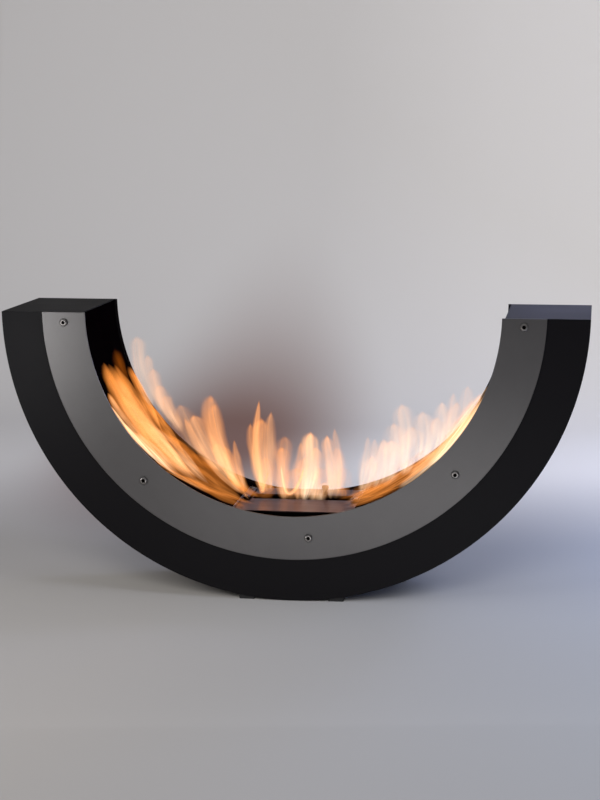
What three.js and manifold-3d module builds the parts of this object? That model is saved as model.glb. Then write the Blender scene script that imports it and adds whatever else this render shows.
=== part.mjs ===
// A free-standing bioethanol fireplace: the lower half of a box-section steel ring, with a drop-in slot
// burner in the bottom of its hollow. Millimetres, +Z up, front towards -Y, origin at floor level under
// the middle of the object.
import * as THREE from "three";
import { mergeVertices } from "three/addons/utils/BufferGeometryUtils.js";
import Module from "manifold-3d";

// ---------------------------------------------------------------- driving dimensions
// The ring. Radii are measured from the circle's centre.
const ringOuterRadius = 500;
const ringSection = 141; // from the outside in to the hearth
const lipOverhang = 5; // the trim plate and the rear cover stand past the hearth by this
const trimWidth = 74.5;
const ringDepth = 250; // front of the trim plate to back of the rear cover
const tipDrop = 10; // arm tops below the circle's centre
const ringLift = 0.8; // the round bottom clears the floor by this
const arcSegments = 72; // facets of a half circle

// Sheet thicknesses.
const trimThickness = 3;
const panelThickness = 3;
const coverThickness = 2;
const skinThickness = 2;
const capThickness = 2;

// Where pieces touch, their solids keep this gap. A shank in its hole has fastenerClearance all round.
const seatGap = 0.3;
const fastenerClearance = 0.3;
const cutReach = 20; // a cutting tool passes its piece by up to this

// Front screws: M8 button head, in the middle of the trim plate's width. Angles go down from +X.
const trimScrewAngles = [3.5, 44.5, 85.5, 130.5, 176];
const m8 = { shank: 8, head: 14, headHeight: 4.4, socket: 5, socketDepth: 2.6, nut: 13, nutHeight: 6.5 };
const trimScrewLength = 12;
const crownShare = 0.6; // a button head's flat crown has this radius, as a share of its socket's width
const domeSteps = [0.75, 0.35]; // rings of a button head's dome, as shares of the way in from its rim

// Rear cover: M5 button heads into tapped standoffs near the outer skin.
const rearScrewAngles = [14, 52, 90, 128, 166];
const m5 = { shank: 5, head: 9.5, headHeight: 2.75, socket: 3, socketDepth: 1.5 };
const rearScrewLength = 14;
const standoffDiameter = 12;
const standoffInset = 30; // axis of a standoff, in from the ring's outside
const standoffBoreDepth = 20;

// Rubber strips that stop the ring rocking, with M4 screws up through them.
const footInnerX = 64;
const footOuterX = 90;
const footSetback = 8; // in from the front and back faces
const footScrewSetback = 35;
const footScrewSeat = 2.6; // rubber left under the screw's head
const m4 = { shank: 4, head: 7.6, headHeight: 2.2, socket: 2.5, socketDepth: 1.2, nut: 7, nutHeight: 3.2 };
const footScrewLength = 10;

// Burner deck, let into the inner skin.
const deckWidth = 208;
const deckSetback = 19; // in from the front and back faces
const deckRise = 11; // top of the deck above the lowest point of the hearth
const deckThickness = 2;
const deckCornerRadius = 4;
const cutoutClearance = 1;

// Fuel tank, wool and its screen.
const tankSideInset = 12; // in from the deck's left and right edges
const tankEndInset = 13; // in from its front and back edges
const tankWall = 1.5;
const screenRecess = 5; // top of the screen below the tank's rim
const screenThickness = 1;
const screenRows = 5;
const screenColumns = 9;
const screenHoleWidth = 12;
const screenHoleDepth = 5;

// Flame slot and its sliding lid.
const slotSideInset = 18; // ends of the slot in from the deck's left and right edges
const slotWidth = 32;
const lidOverlap = 5; // the closed lid covers the slot's long edges by this
const lidSideOverlap = 7; // and its ends by this
const lidThickness = 1.5;
const lidParkGap = 2.5; // between the slot and the parked lid
const lidParkInset = 26.5; // parked lid in from the deck's back edge
const knobInset = 57; // in from the lid's right end
const knobDiameter = 12;
const knobHeight = 14;
const knobSpigot = 5;
const knobBase = { diameter: 10.2, height: 2 };
const knobWaist = { diameter: 6, from: 4, to: 6 };
const knobGrip = { from: 9, chamfer: 2 };

// Guides: a base strip beside the lid with a lip over its edge.
const guideBaseWidth = 7.6;
const guideGrip = 3; // lip over the lid
const guideSideClearance = 0.5;
const guideTopClearance = 0.7;
const guideLipThickness = 1.5;
const guideOverrun = 4; // past the lid at both ends of its travel
const rivet = { shank: 4, head: 7, headHeight: 1.8, shoulder: 5.4, shoulderHeight: 1.35 };
const rivetEndInset = 10;

// Tray and rails under the deck.
const traySideOverlap = 1.2; // inside of the tray, outside the cut-out by this
const trayWall = 1.5;
const trayFloorGap = 11; // under the tank
const trayClearance = 39; // from the tray down to the standoffs
const railWidth = 10.9;
const railHeight = 22;
const railThickness = 2;
const railEndGap = 6;

// ---------------------------------------------------------------- places worked out from them
const hearthRadius = ringOuterRadius - ringSection; // hearth side of the inner skin
const lipRadius = hearthRadius - lipOverhang; // inner edge of the trim plate and of the rear cover
const trimOuterRadius = lipRadius + trimWidth;
const centreZ = ringOuterRadius + ringLift;
const trimBack = trimThickness;
const panelFront = trimBack + seatGap;
const panelBack = panelFront + panelThickness;
const skinFront = panelBack + seatGap;
const coverBack = ringDepth;
const coverFront = coverBack - coverThickness;
const skinBack = coverFront - seatGap;
const frontReach = seatGap + m8.headHeight; // heads of the trim screws, in front of the trim plate
const rearReach = coverBack + seatGap + m5.headHeight;
const middleY = (rearReach - frontReach) / 2;
const skinTop = -tipDrop - capThickness - seatGap;

const trimScrewRadius = (lipRadius + trimOuterRadius) / 2;
const standoffRadius = ringOuterRadius - standoffInset;

const deckHalf = deckWidth / 2;
const deckFront = deckSetback;
const deckBack = ringDepth - deckSetback;
const deckTop = deckRise - hearthRadius;
const deckUnder = deckTop - deckThickness;
const cutoutHalf = deckHalf + cutoutClearance;
const cutoutFront = deckFront - cutoutClearance;
const cutoutBack = deckBack + cutoutClearance;

const slotLength = deckWidth - 2 * slotSideInset;
const lidDepth = slotWidth + 2 * lidOverlap;
const lidHalf = slotLength / 2 + lidSideOverlap;
const knobX = lidHalf - knobInset;
const lidBack = deckBack - lidParkInset;
const lidFront = lidBack - lidDepth;
const slotBack = lidFront - lidParkGap;
const slotFront = slotBack - slotWidth;
const lidTravel = slotWidth + lidOverlap + lidParkGap;
const lidUnder = deckTop + seatGap;
const lidTop = lidUnder + lidThickness;

const trayInnerHalf = cutoutHalf + traySideOverlap;
const trayInnerFront = cutoutFront - traySideOverlap;
const trayInnerBack = cutoutBack + traySideOverlap;
const trayUnder = trayClearance + standoffDiameter / 2 - standoffRadius;
const trayFloorTop = trayUnder + trayWall;
const tankTop = deckUnder - seatGap;
const tankFloor = trayFloorTop + trayFloorGap;
const underSkinRadius = hearthRadius + skinThickness + seatGap;

// ---------------------------------------------------------------- materials
const powderCoat = new THREE.MeshStandardMaterial({ color: 0x1b191d, roughness: 0.55, metalness: 0.2 });
const satinSteel = new THREE.MeshStandardMaterial({ color: 0x67666a, roughness: 0.4, metalness: 0.8 });
const brightSteel = new THREE.MeshStandardMaterial({ color: 0x8f8d90, roughness: 0.3, metalness: 1 });
const stainless = new THREE.MeshStandardMaterial({ color: 0x7d746e, roughness: 0.35, metalness: 1 });
const galvanised = new THREE.MeshStandardMaterial({ color: 0x9a9ca0, roughness: 0.5, metalness: 0.9 });
const rubber = new THREE.MeshStandardMaterial({ color: 0x141414, roughness: 0.9, metalness: 0 });
const fibre = new THREE.MeshStandardMaterial({ color: 0xe9e5da, roughness: 1, metalness: 0 });

// ---------------------------------------------------------------- solids, cuts and joins
const wasm = await Module();
wasm.setup();

function toSolid(geometry) {
  const bare = geometry.clone();
  bare.deleteAttribute("normal");
  bare.deleteAttribute("uv");
  const merged = mergeVertices(bare, 1e-4);
  return new wasm.Manifold(
    new wasm.Mesh({
      numProp: 3,
      vertProperties: merged.attributes.position.array,
      triVerts: new Uint32Array(merged.index.array),
    }),
  );
}

function toGeometry(solid) {
  const { vertProperties, triVerts } = solid.getMesh();
  const geometry = new THREE.BufferGeometry();
  geometry.setAttribute("position", new THREE.BufferAttribute(vertProperties, 3));
  geometry.setIndex(new THREE.BufferAttribute(triVerts, 1));
  geometry.computeVertexNormals();
  return geometry;
}

function cut(geometry, ...tools) {
  const solid = tools.reduce((rest, tool) => rest.subtract(toSolid(tool)), toSolid(geometry));
  return toGeometry(solid);
}

// ---------------------------------------------------------------- shapes that repeat
const degrees = Math.PI / 180;

// A point on a circle about the ring's centre, as x and height.
const onCircle = (radius, angle) => [radius * Math.cos(angle * degrees), -radius * Math.sin(angle * degrees)];

// The lower half of a ring, its ends cut level at height top.
function halfRing(innerRadius, outerRadius, top) {
  const outerEnd = Math.asin(-top / outerRadius);
  const innerEnd = Math.asin(-top / innerRadius);
  return new THREE.Shape()
    .absarc(0, 0, outerRadius, -outerEnd, outerEnd - Math.PI, true)
    .absarc(0, 0, innerRadius, innerEnd - Math.PI, -innerEnd, false);
}

// A round hole in an outline.
function roundHole(x, y, radius, sides = 16) {
  const centre = new THREE.Vector2(x, y);
  const corner = (_, i) => new THREE.Vector2(x + radius, y).rotateAround(centre, (i * 2 * Math.PI) / sides);
  return new THREE.Path(Array.from({ length: sides }, corner));
}

function rectangle(x0, x1, y0, y1, Kind = THREE.Path) {
  return new Kind([
    new THREE.Vector2(x0, y0),
    new THREE.Vector2(x1, y0),
    new THREE.Vector2(x1, y1),
    new THREE.Vector2(x0, y1),
  ]);
}

// An outline in x and height, carried back from yFront to yBack.
function carriedBack(shape, yFront, yBack, curveSegments = arcSegments / 2) {
  const options = { depth: yBack - yFront, bevelEnabled: false, curveSegments };
  return new THREE.ExtrudeGeometry(shape, options).rotateX(Math.PI / 2).translate(0, yBack, 0);
}

// An outline in x and y, carried up from zLow to zHigh.
function carriedUp(shape, zLow, zHigh) {
  const options = { depth: zHigh - zLow, bevelEnabled: false, curveSegments: 3 };
  return new THREE.ExtrudeGeometry(shape, options).translate(0, 0, zLow);
}

function block(x0, x1, y0, y1, z0, z1) {
  const middle = [(x0 + x1) / 2, (y0 + y1) / 2, (z0 + z1) / 2];
  return new THREE.BoxGeometry(x1 - x0, y1 - y0, z1 - z0).translate(...middle);
}

// A round bar along Y from y0 to y1.
function bar(diameter, y0, y1, sides = 16) {
  const radius = diameter / 2;
  return new THREE.CylinderGeometry(radius, radius, y1 - y0, sides).translate(0, (y0 + y1) / 2, 0);
}

// A button-head hex-socket screw along Y: the head's seat at y = 0, its dome towards -Y.
function buttonScrew(size, length, sides = 16) {
  const headRadius = size.head / 2;
  const crownRadius = size.socket * crownShare;
  const dome = domeSteps.map((share) => {
    const radius = THREE.MathUtils.lerp(headRadius, crownRadius, share);
    return new THREE.Vector2(radius, -size.headHeight * Math.sin((share * Math.PI) / 2));
  });
  const profile = [
    new THREE.Vector2(0, -size.headHeight),
    new THREE.Vector2(crownRadius, -size.headHeight),
    ...dome,
    new THREE.Vector2(headRadius, 0),
    new THREE.Vector2(size.shank / 2, 0),
    new THREE.Vector2(size.shank / 2, length),
    new THREE.Vector2(0, length),
  ];
  const blank = new THREE.LatheGeometry(profile, sides);
  const socketRadius = size.socket / Math.sqrt(3);
  const socket = new THREE.CylinderGeometry(socketRadius, socketRadius, 2 * size.socketDepth, 6);
  return cut(blank, socket.translate(0, -size.headHeight, 0));
}

// A hexagon nut along Y, from y = 0 back.
function hexNut(size) {
  const blank = bar((2 * size.nut) / Math.sqrt(3), 0, size.nutHeight, 6);
  const bore = bar(size.shank + 2 * fastenerClearance, -cutReach, size.nutHeight + cutReach);
  return cut(blank, bore);
}

// ---------------------------------------------------------------- scene graph
const fireplace = new THREE.Group();
fireplace.position.set(0, -middleY, centreZ);
const casing = new THREE.Group();
const burner = new THREE.Group();
const lid = new THREE.Group();
fireplace.add(casing, burner);
burner.add(lid);

function piece(parent, name, geometry, material) {
  const mesh = new THREE.Mesh(geometry, material);
  mesh.name = name;
  parent.add(mesh);
  return mesh;
}

// ---------------------------------------------------------------- casing
function drilledHalfRing(innerRadius, angles, holeRadius, pitchRadius, outerRadius) {
  const shape = halfRing(innerRadius, outerRadius, -tipDrop);
  shape.holes = angles.map((angle) => roundHole(...onCircle(pitchRadius, angle), holeRadius));
  return shape;
}

function addFrontAndTrim() {
  const hole = m8.shank / 2 + fastenerClearance;
  const panel = drilledHalfRing(hearthRadius, trimScrewAngles, hole, trimScrewRadius, ringOuterRadius);
  piece(casing, "front_panel", carriedBack(panel, panelFront, panelBack), powderCoat);
  const trim = drilledHalfRing(lipRadius, trimScrewAngles, hole, trimScrewRadius, trimOuterRadius);
  piece(casing, "trim_plate", carriedBack(trim, 0, trimBack), satinSteel);
  trimScrewAngles.forEach((angle, i) => {
    const [x, z] = onCircle(trimScrewRadius, angle);
    const screw = piece(casing, `trim_screw_${i + 1}`, buttonScrew(m8, trimScrewLength), brightSteel);
    screw.position.set(x, -seatGap, z);
    const nut = piece(casing, `trim_nut_${i + 1}`, hexNut(m8), galvanised);
    nut.position.set(x, panelBack + seatGap, z);
  });
}

function addRearCover() {
  const hole = m5.shank / 2 + fastenerClearance;
  const cover = drilledHalfRing(lipRadius, rearScrewAngles, hole, standoffRadius, ringOuterRadius);
  piece(casing, "rear_cover", carriedBack(cover, coverFront, coverBack), powderCoat);
  rearScrewAngles.forEach((angle, i) => {
    const [x, z] = onCircle(standoffRadius, angle);
    const bore = bar(2 * hole, skinBack - standoffBoreDepth, skinBack + cutReach);
    const post = cut(bar(standoffDiameter, skinFront, skinBack), bore);
    piece(casing, `rear_standoff_${i + 1}`, post, galvanised).position.set(x, 0, z);
    const screw = piece(casing, `rear_screw_${i + 1}`, buttonScrew(m5, rearScrewLength, 12), brightSteel);
    screw.position.set(x, coverBack + seatGap, z);
    screw.rotation.z = Math.PI;
  });
}

function addSkins() {
  const section = (radius) => halfRing(radius, radius + skinThickness, skinTop);
  const rolled = (radius) => carriedBack(section(radius), skinFront, skinBack);
  const windowTop = deckTop + cutReach;
  const window = block(-cutoutHalf, cutoutHalf, cutoutFront, cutoutBack, -underSkinRadius, windowTop);
  piece(casing, "inner_skin", cut(rolled(hearthRadius), window), powderCoat);
  const drills = footScrewPlaces().map(footDrill);
  piece(casing, "outer_skin", cut(rolled(ringOuterRadius - skinThickness), ...drills), powderCoat);
  for (const [name, side] of [["left_end_cap", -1], ["right_end_cap", 1]]) {
    const outerX = Math.sqrt(ringOuterRadius ** 2 - (tipDrop + capThickness) ** 2);
    const innerX = Math.sqrt(hearthRadius ** 2 - tipDrop ** 2);
    const ends = [side * innerX, side * outerX].sort((a, b) => a - b);
    const plate = block(...ends, skinFront, skinBack, -tipDrop - capThickness, -tipDrop);
    piece(casing, name, plate, powderCoat);
  }
}

// ---------------------------------------------------------------- feet
const footScrewX = (footInnerX + footOuterX) / 2;
const footScrewTilt = Math.asin(footScrewX / ringOuterRadius); // from straight down

function footScrewPlaces() {
  const ys = [footScrewSetback, ringDepth - footScrewSetback];
  return [-1, 1].flatMap((side) => ys.map((y) => ({ side, y })));
}

// Turns and moves a geometry made along Y, dome towards -Y, so that it points out of the ring along the
// radius through a foot screw, with its y = 0 at the given radius.
function alongFootRadius(geometry, { side, y }, radius) {
  geometry.rotateX(Math.PI / 2).translate(0, 0, -radius);
  return geometry.rotateY(-side * footScrewTilt).translate(0, y, 0);
}

function footDrill(place) {
  const hole = m4.shank + 2 * fastenerClearance;
  return alongFootRadius(bar(hole, -cutReach, cutReach), place, ringOuterRadius);
}

function addFeet() {
  const topRadius = ringOuterRadius + seatGap;
  const headSeat = topRadius + footScrewSeat;
  const counterbore = m4.head + 4 * fastenerClearance;
  for (const [name, side] of [["left_foot_strip", -1], ["right_foot_strip", 1]]) {
    const arcStart = Math.acos(footOuterX / topRadius);
    const arcEnd = Math.acos(footInnerX / topRadius);
    const wedge = new THREE.Shape()
      .moveTo(footInnerX, -centreZ)
      .lineTo(footOuterX, -centreZ)
      .absarc(0, 0, topRadius, -arcStart, -arcEnd, true);
    const blank = carriedBack(wedge, footSetback, ringDepth - footSetback, 2);
    if (side < 0) blank.rotateZ(Math.PI).translate(0, ringDepth, 0);
    const places = footScrewPlaces().filter((place) => place.side === side);
    const recess = (place) => alongFootRadius(bar(counterbore, -cutReach, 0), place, headSeat);
    piece(casing, name, cut(blank, ...places.map(footDrill), ...places.map(recess)), rubber);
  }
  footScrewPlaces().forEach((place, i) => {
    const screw = alongFootRadius(buttonScrew(m4, footScrewLength, 12), place, headSeat + seatGap);
    piece(casing, `foot_screw_${i + 1}`, screw, brightSteel);
    const nut = alongFootRadius(hexNut(m4), place, ringOuterRadius - skinThickness - seatGap);
    piece(casing, `foot_nut_${i + 1}`, nut, galvanised);
  });
}

// ---------------------------------------------------------------- tray and rails
function addTray() {
  const trayOuterHalf = trayInnerHalf + trayWall;
  const trayOuterFront = trayInnerFront - trayWall;
  const trayOuterBack = trayInnerBack + trayWall;
  const top = deckTop + deckRise;
  const blank = block(-trayOuterHalf, trayOuterHalf, trayOuterFront, trayOuterBack, trayUnder, top);
  const inside = block(-trayInnerHalf, trayInnerHalf, trayInnerFront, trayInnerBack, trayFloorTop, 0);
  const disc = new THREE.Shape().absarc(0, 0, underSkinRadius, 0, -Math.PI, true);
  const hearth = carriedBack(disc, trayOuterFront - cutReach, trayOuterBack + cutReach);
  piece(casing, "safety_tray", cut(blank, inside, hearth), galvanised);

  const railOuter = trayInnerHalf - seatGap;
  const railTop = deckUnder - seatGap;
  for (const [name, side] of [["left_burner_rail", -1], ["right_burner_rail", 1]]) {
    const corners = [
      [railOuter, railTop],
      [railOuter - railWidth, railTop],
      [railOuter - railWidth, railTop - railThickness],
      [railOuter - railThickness, railTop - railThickness],
      [railOuter - railThickness, railTop - railHeight],
      [railOuter, railTop - railHeight],
    ];
    const angle = new THREE.Shape(corners.map(([x, z]) => new THREE.Vector2(side * x, z)));
    const rail = carriedBack(angle, trayInnerFront + railEndGap, trayInnerBack - railEndGap);
    piece(casing, name, rail, galvanised);
  }
}

// ---------------------------------------------------------------- burner
const guideInner = lidHalf + guideSideClearance;
const guideOuter = guideInner + guideBaseWidth;
const guideFront = lidFront - lidTravel - guideOverrun;
const guideBack = lidBack + guideOverrun;
const guideBottom = deckTop + seatGap;
const guideLipUnder = lidTop + guideTopClearance;
const guideTop = guideLipUnder + guideLipThickness;

function rivetPlaces() {
  const x = (guideInner + guideOuter) / 2;
  const ys = [guideFront + rivetEndInset, guideBack - rivetEndInset];
  return [-1, 1].flatMap((side) => ys.map((y) => ({ x: side * x, y })));
}

function rivetHole({ x, y }) {
  const hole = bar(rivet.shank + 2 * fastenerClearance, -cutReach, cutReach).rotateX(Math.PI / 2);
  return hole.translate(x, y, deckTop);
}

function addDeck() {
  const r = deckCornerRadius;
  const outline = new THREE.Shape()
    .absarc(deckHalf - r, deckFront + r, r, -Math.PI / 2, 0, false)
    .absarc(deckHalf - r, deckBack - r, r, 0, Math.PI / 2, false)
    .absarc(r - deckHalf, deckBack - r, r, Math.PI / 2, Math.PI, false)
    .absarc(r - deckHalf, deckFront + r, r, Math.PI, 1.5 * Math.PI, false);
  outline.holes = [rectangle(-slotLength / 2, slotLength / 2, slotFront, slotBack)];
  const plate = carriedUp(outline, deckUnder, deckTop);
  piece(burner, "burner_deck", cut(plate, ...rivetPlaces().map(rivetHole)), stainless);
}

function addTank() {
  const halfWidth = deckHalf - tankSideInset;
  const front = deckFront + tankEndInset;
  const back = deckBack - tankEndInset;
  const box = block(-halfWidth, halfWidth, front, back, tankFloor, tankTop);
  const innerHalf = halfWidth - tankWall;
  const innerFront = front + tankWall;
  const innerBack = back - tankWall;
  const innerFloor = tankFloor + tankWall;
  const hollow = block(-innerHalf, innerHalf, innerFront, innerBack, innerFloor, tankTop + cutReach);
  piece(burner, "burner_tank", cut(box, hollow), stainless);

  const woolX = innerHalf - seatGap;
  const woolFront = innerFront + seatGap;
  const woolBack = innerBack - seatGap;
  const woolBottom = innerFloor + seatGap;
  const screenTop = tankTop - screenRecess;
  const screenUnder = screenTop - screenThickness;
  const woolTop = screenUnder - seatGap;
  piece(burner, "ceramic_wool", block(-woolX, woolX, woolFront, woolBack, woolBottom, woolTop), fibre);

  const pitchX = (2 * woolX) / screenColumns;
  const pitchY = (woolBack - woolFront) / screenRows;
  const holes = [];
  for (let column = 0; column < screenColumns; column++)
    for (let row = 0; row < screenRows; row++) {
      const x0 = -woolX + (column + 0.5) * pitchX - screenHoleWidth / 2;
      const y0 = woolFront + (row + 0.5) * pitchY - screenHoleDepth / 2;
      const z = [screenUnder - cutReach, screenTop + cutReach];
      holes.push(block(x0, x0 + screenHoleWidth, y0, y0 + screenHoleDepth, ...z));
    }
  const sheet = block(-woolX, woolX, woolFront, woolBack, screenUnder, screenTop);
  piece(burner, "wool_screen", cut(sheet, ...holes), stainless);
}

function addGuides() {
  for (const [name, side] of [["left_lid_guide", -1], ["right_lid_guide", 1]]) {
    const corners = [
      [guideInner, guideBottom],
      [guideOuter, guideBottom],
      [guideOuter, guideTop],
      [lidHalf - guideGrip, guideTop],
      [lidHalf - guideGrip, guideLipUnder],
      [guideInner, guideLipUnder],
    ];
    const section = new THREE.Shape(corners.map(([x, z]) => new THREE.Vector2(side * x, z)));
    const strip = carriedBack(section, guideFront, guideBack);
    const holes = rivetPlaces().filter(({ x }) => x * side > 0).map(rivetHole);
    piece(burner, name, cut(strip, ...holes), stainless);
  }
  const headSeat = guideTop + seatGap;
  const profile = [
    new THREE.Vector2(0, deckUnder - headSeat),
    new THREE.Vector2(rivet.shank / 2, deckUnder - headSeat),
    new THREE.Vector2(rivet.shank / 2, 0),
    new THREE.Vector2(rivet.head / 2, 0),
    new THREE.Vector2(rivet.shoulder / 2, rivet.shoulderHeight),
    new THREE.Vector2(0, rivet.headHeight),
  ];
  rivetPlaces().forEach(({ x, y }, i) => {
    const body = new THREE.LatheGeometry(profile, 12).rotateX(Math.PI / 2);
    piece(burner, `guide_rivet_${i + 1}`, body, brightSteel).position.set(x, y, headSeat);
  });
}

function addLid() {
  const knobY = (lidFront + lidBack) / 2;
  const plate = rectangle(-lidHalf, lidHalf, lidFront, lidBack, THREE.Shape);
  plate.holes = [roundHole(knobX, knobY, knobSpigot / 2 + fastenerClearance, 12)];
  piece(lid, "slide_lid", carriedUp(plate, lidUnder, lidTop), stainless);

  const seat = lidTop + seatGap;
  const profile = [
    [0, lidUnder - seat],
    [knobSpigot, lidUnder - seat],
    [knobSpigot, 0],
    [knobBase.diameter, 0],
    [knobBase.diameter, knobBase.height],
    [knobWaist.diameter, knobWaist.from],
    [knobWaist.diameter, knobWaist.to],
    [knobDiameter, knobGrip.from],
    [knobDiameter, knobHeight - knobGrip.chamfer],
    [knobDiameter - 2 * knobGrip.chamfer, knobHeight],
    [0, knobHeight],
  ].map(([diameter, height]) => new THREE.Vector2(diameter / 2, height));
  const knob = new THREE.LatheGeometry(profile, 16).rotateX(Math.PI / 2);
  piece(lid, "lid_knob", knob, brightSteel).position.set(knobX, knobY, seat);
}

addFrontAndTrim();
addRearCover();
addSkins();
addFeet();
addTray();
addDeck();
addTank();
addGuides();
addLid();

export default fireplace;
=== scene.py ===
"""A half-ring bioethanol fireplace: finishes, fine surfaces, flames and a plain studio.

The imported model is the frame. Pieces that are seen are made again here as fine numpy surfaces, inside the
same sizes, and the hidden ones keep their own meshes and get a finish. Metres, +Z up, front towards -Y.
"""

import math

import bmesh
import bpy
import numpy as np
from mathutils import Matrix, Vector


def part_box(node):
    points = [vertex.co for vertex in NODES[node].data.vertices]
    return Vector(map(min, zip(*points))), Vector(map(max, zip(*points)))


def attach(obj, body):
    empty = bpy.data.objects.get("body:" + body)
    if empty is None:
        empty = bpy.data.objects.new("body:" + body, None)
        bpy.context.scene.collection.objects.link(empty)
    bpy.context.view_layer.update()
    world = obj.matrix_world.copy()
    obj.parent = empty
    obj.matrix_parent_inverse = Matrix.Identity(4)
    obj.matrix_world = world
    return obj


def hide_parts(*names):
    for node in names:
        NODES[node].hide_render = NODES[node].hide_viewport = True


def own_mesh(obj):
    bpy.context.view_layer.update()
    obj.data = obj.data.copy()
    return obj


bl_info = {
    "name": "Half-ring bioethanol fireplace",
    "version": (1, 0, 0),
    "blender": (4, 5, 0),
    "location": "View3D > Sidebar > Fireplace",
    "description": "Makes the fine surfaces, finishes and flames of a half-ring bioethanol fireplace",
    "category": "Add Mesh",
}

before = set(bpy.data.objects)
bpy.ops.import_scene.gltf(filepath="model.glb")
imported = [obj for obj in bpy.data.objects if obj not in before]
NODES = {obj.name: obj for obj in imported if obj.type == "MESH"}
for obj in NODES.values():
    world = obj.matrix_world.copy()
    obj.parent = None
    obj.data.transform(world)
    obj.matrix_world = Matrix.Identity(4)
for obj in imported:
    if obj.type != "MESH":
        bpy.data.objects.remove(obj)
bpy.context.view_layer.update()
MM = 0.001
SEED = 12
SHARP = math.radians(35)


def low(node):
    """Lowest corner of a node of the frame."""
    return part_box(node)[0]


def high(node):
    """Highest corner of a node of the frame."""
    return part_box(node)[1]


def plan(node):
    """Half sizes in x and y of a node of the frame and the middle, seen from above."""
    a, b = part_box(node)
    return (b.x - a.x) / 2, (b.y - a.y) / 2, ((a.x + b.x) / 2, (a.y + b.y) / 2)


def linear(code):
    """An sRGB hex value such as 0x808080 as linear red, green, blue and alpha."""
    srgb = np.array([(code >> 16) & 255, (code >> 8) & 255, code & 255]) / 255
    flat = np.where(srgb <= 0.04045, srgb / 12.92, ((srgb + 0.055) / 1.055) ** 2.4)
    return (*flat.tolist(), 1.0)


# ------------------------------------------------------------------ sizes and colours a user would change
def length(name, text, default, low_end=0.0, high_end=2.0):
    """A length property in metres."""
    return bpy.props.FloatProperty(
        name=name, description=text, default=default, min=low_end, max=high_end, unit="LENGTH", precision=4
    )


def colour(name, text, code):
    """A colour property, its default given as sRGB hex."""
    return bpy.props.FloatVectorProperty(
        name=name, description=text, default=linear(code), size=4, min=0.0, max=1.0, subtype="COLOR"
    )


def share(name, text, default, top=1.0):
    """A plain factor."""
    return bpy.props.FloatProperty(
        name=name, description=text, default=default, min=0.0, max=top, subtype="FACTOR"
    )


def number(name, text, default, top=100.0):
    """A plain number."""
    return bpy.props.FloatProperty(name=name, description=text, default=default, min=0.0, max=top)


class FireplaceRing(bpy.types.PropertyGroup):
    """Sizes of the half ring."""

    outer_radius: length("Outer radius", "Radius of the round outside", 0.5)
    section: length("Section", "From the outside of the ring in to the hearth", 0.141)
    lip: length("Lip", "How far the trim and the rear cover stand past the hearth", 0.005)
    trim_width: length("Trim width", "Width of the grey trim plate", 0.0745)
    tip_drop: length("Tip drop", "Arm tops below the circle's centre", 0.01)
    edge: length("Edge rounding", "Rounding of laser-cut sheet edges", 0.0005)
    steps: bpy.props.IntProperty(
        name="Steps", description="Facets along the half circle", default=360, min=36, max=720
    )


class FireplaceBurner(bpy.types.PropertyGroup):
    """Sizes of the burner's plates."""

    slot_length: length("Slot length", "Length of the flame slot", 0.172)
    slot_width: length("Slot width", "Width of the flame slot", 0.032)
    slot_gap: length("Lid gap", "From the slot back to the parked lid", 0.0025)
    deck_corner: length("Deck corner", "Corner radius of the burner's deck", 0.004)
    slot_corner: length("Slot corner", "Corner radius of the slot", 0.002)
    tank_corner: length("Tank corner", "Corner radius of the fuel box", 0.009)
    tank_wall: length("Tank wall", "Sheet of the fuel box", 0.0015)


class FireplaceFlames(bpy.types.PropertyGroup):
    """Size and colour of the flames."""

    height: number("Height", "Height of the flames, 1 as photographed", 1.0, 1.2)
    width: number("Width", "Width of each tongue, 1 as photographed", 1.0, 2.0)
    brightness: number("Brightness", "Strength of the flames' light, 1 as photographed", 1.0, 20.0)
    thickness: share("Thickness", "How much one full sheet of flame hides what is behind it", 0.34)
    cool: colour("Cool edge", "Thin, cooler parts of a flame", 0xE8761A)
    warm: colour("Body", "The flame's body", 0xFF9A46)
    bright: colour("Bright body", "Brighter parts of the body", 0xFFBE88)
    hot: colour("Core", "The hottest parts", 0xFFE4C0)


class FireplaceFinishes(bpy.types.PropertyGroup):
    """Colours of the finishes."""

    powder: colour("Powder coat", "Black powder coat of the casing", 0x040305)
    stove: colour("Stove paint", "Matt black paint of the hearth", 0x040203)
    trim: colour("Trim steel", "Grey satin steel of the trim plate", 0x6A6868)
    screw: colour("Screw steel", "Bright stainless of the screws", 0x96928F)
    # Painted shade: a dark colour put deep in the screws' sockets, where shade falls.
    painted_socket_shade: colour("Grime", "Dark grime deep in the screws' sockets", 0x0C0A0A)
    stainless: colour("Burner steel", "Brushed stainless of the burner", 0x262020)
    heat_tint: colour("Heat tint", "Brown-mauve tint of the steel beside the slot", 0x1A1012)
    straw: colour("Straw tint", "Straw tint of the steel farther from the slot", 0x201616)
    zinc: colour("Zinc", "Zinc plating of the hidden fittings", 0xB4B8BE)
    rubber: colour("Rubber", "Black rubber of the foot strips", 0x19191A)
    fibre: colour("Ceramic fibre", "White fibre that holds the fuel", 0xE6E1D6)


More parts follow.
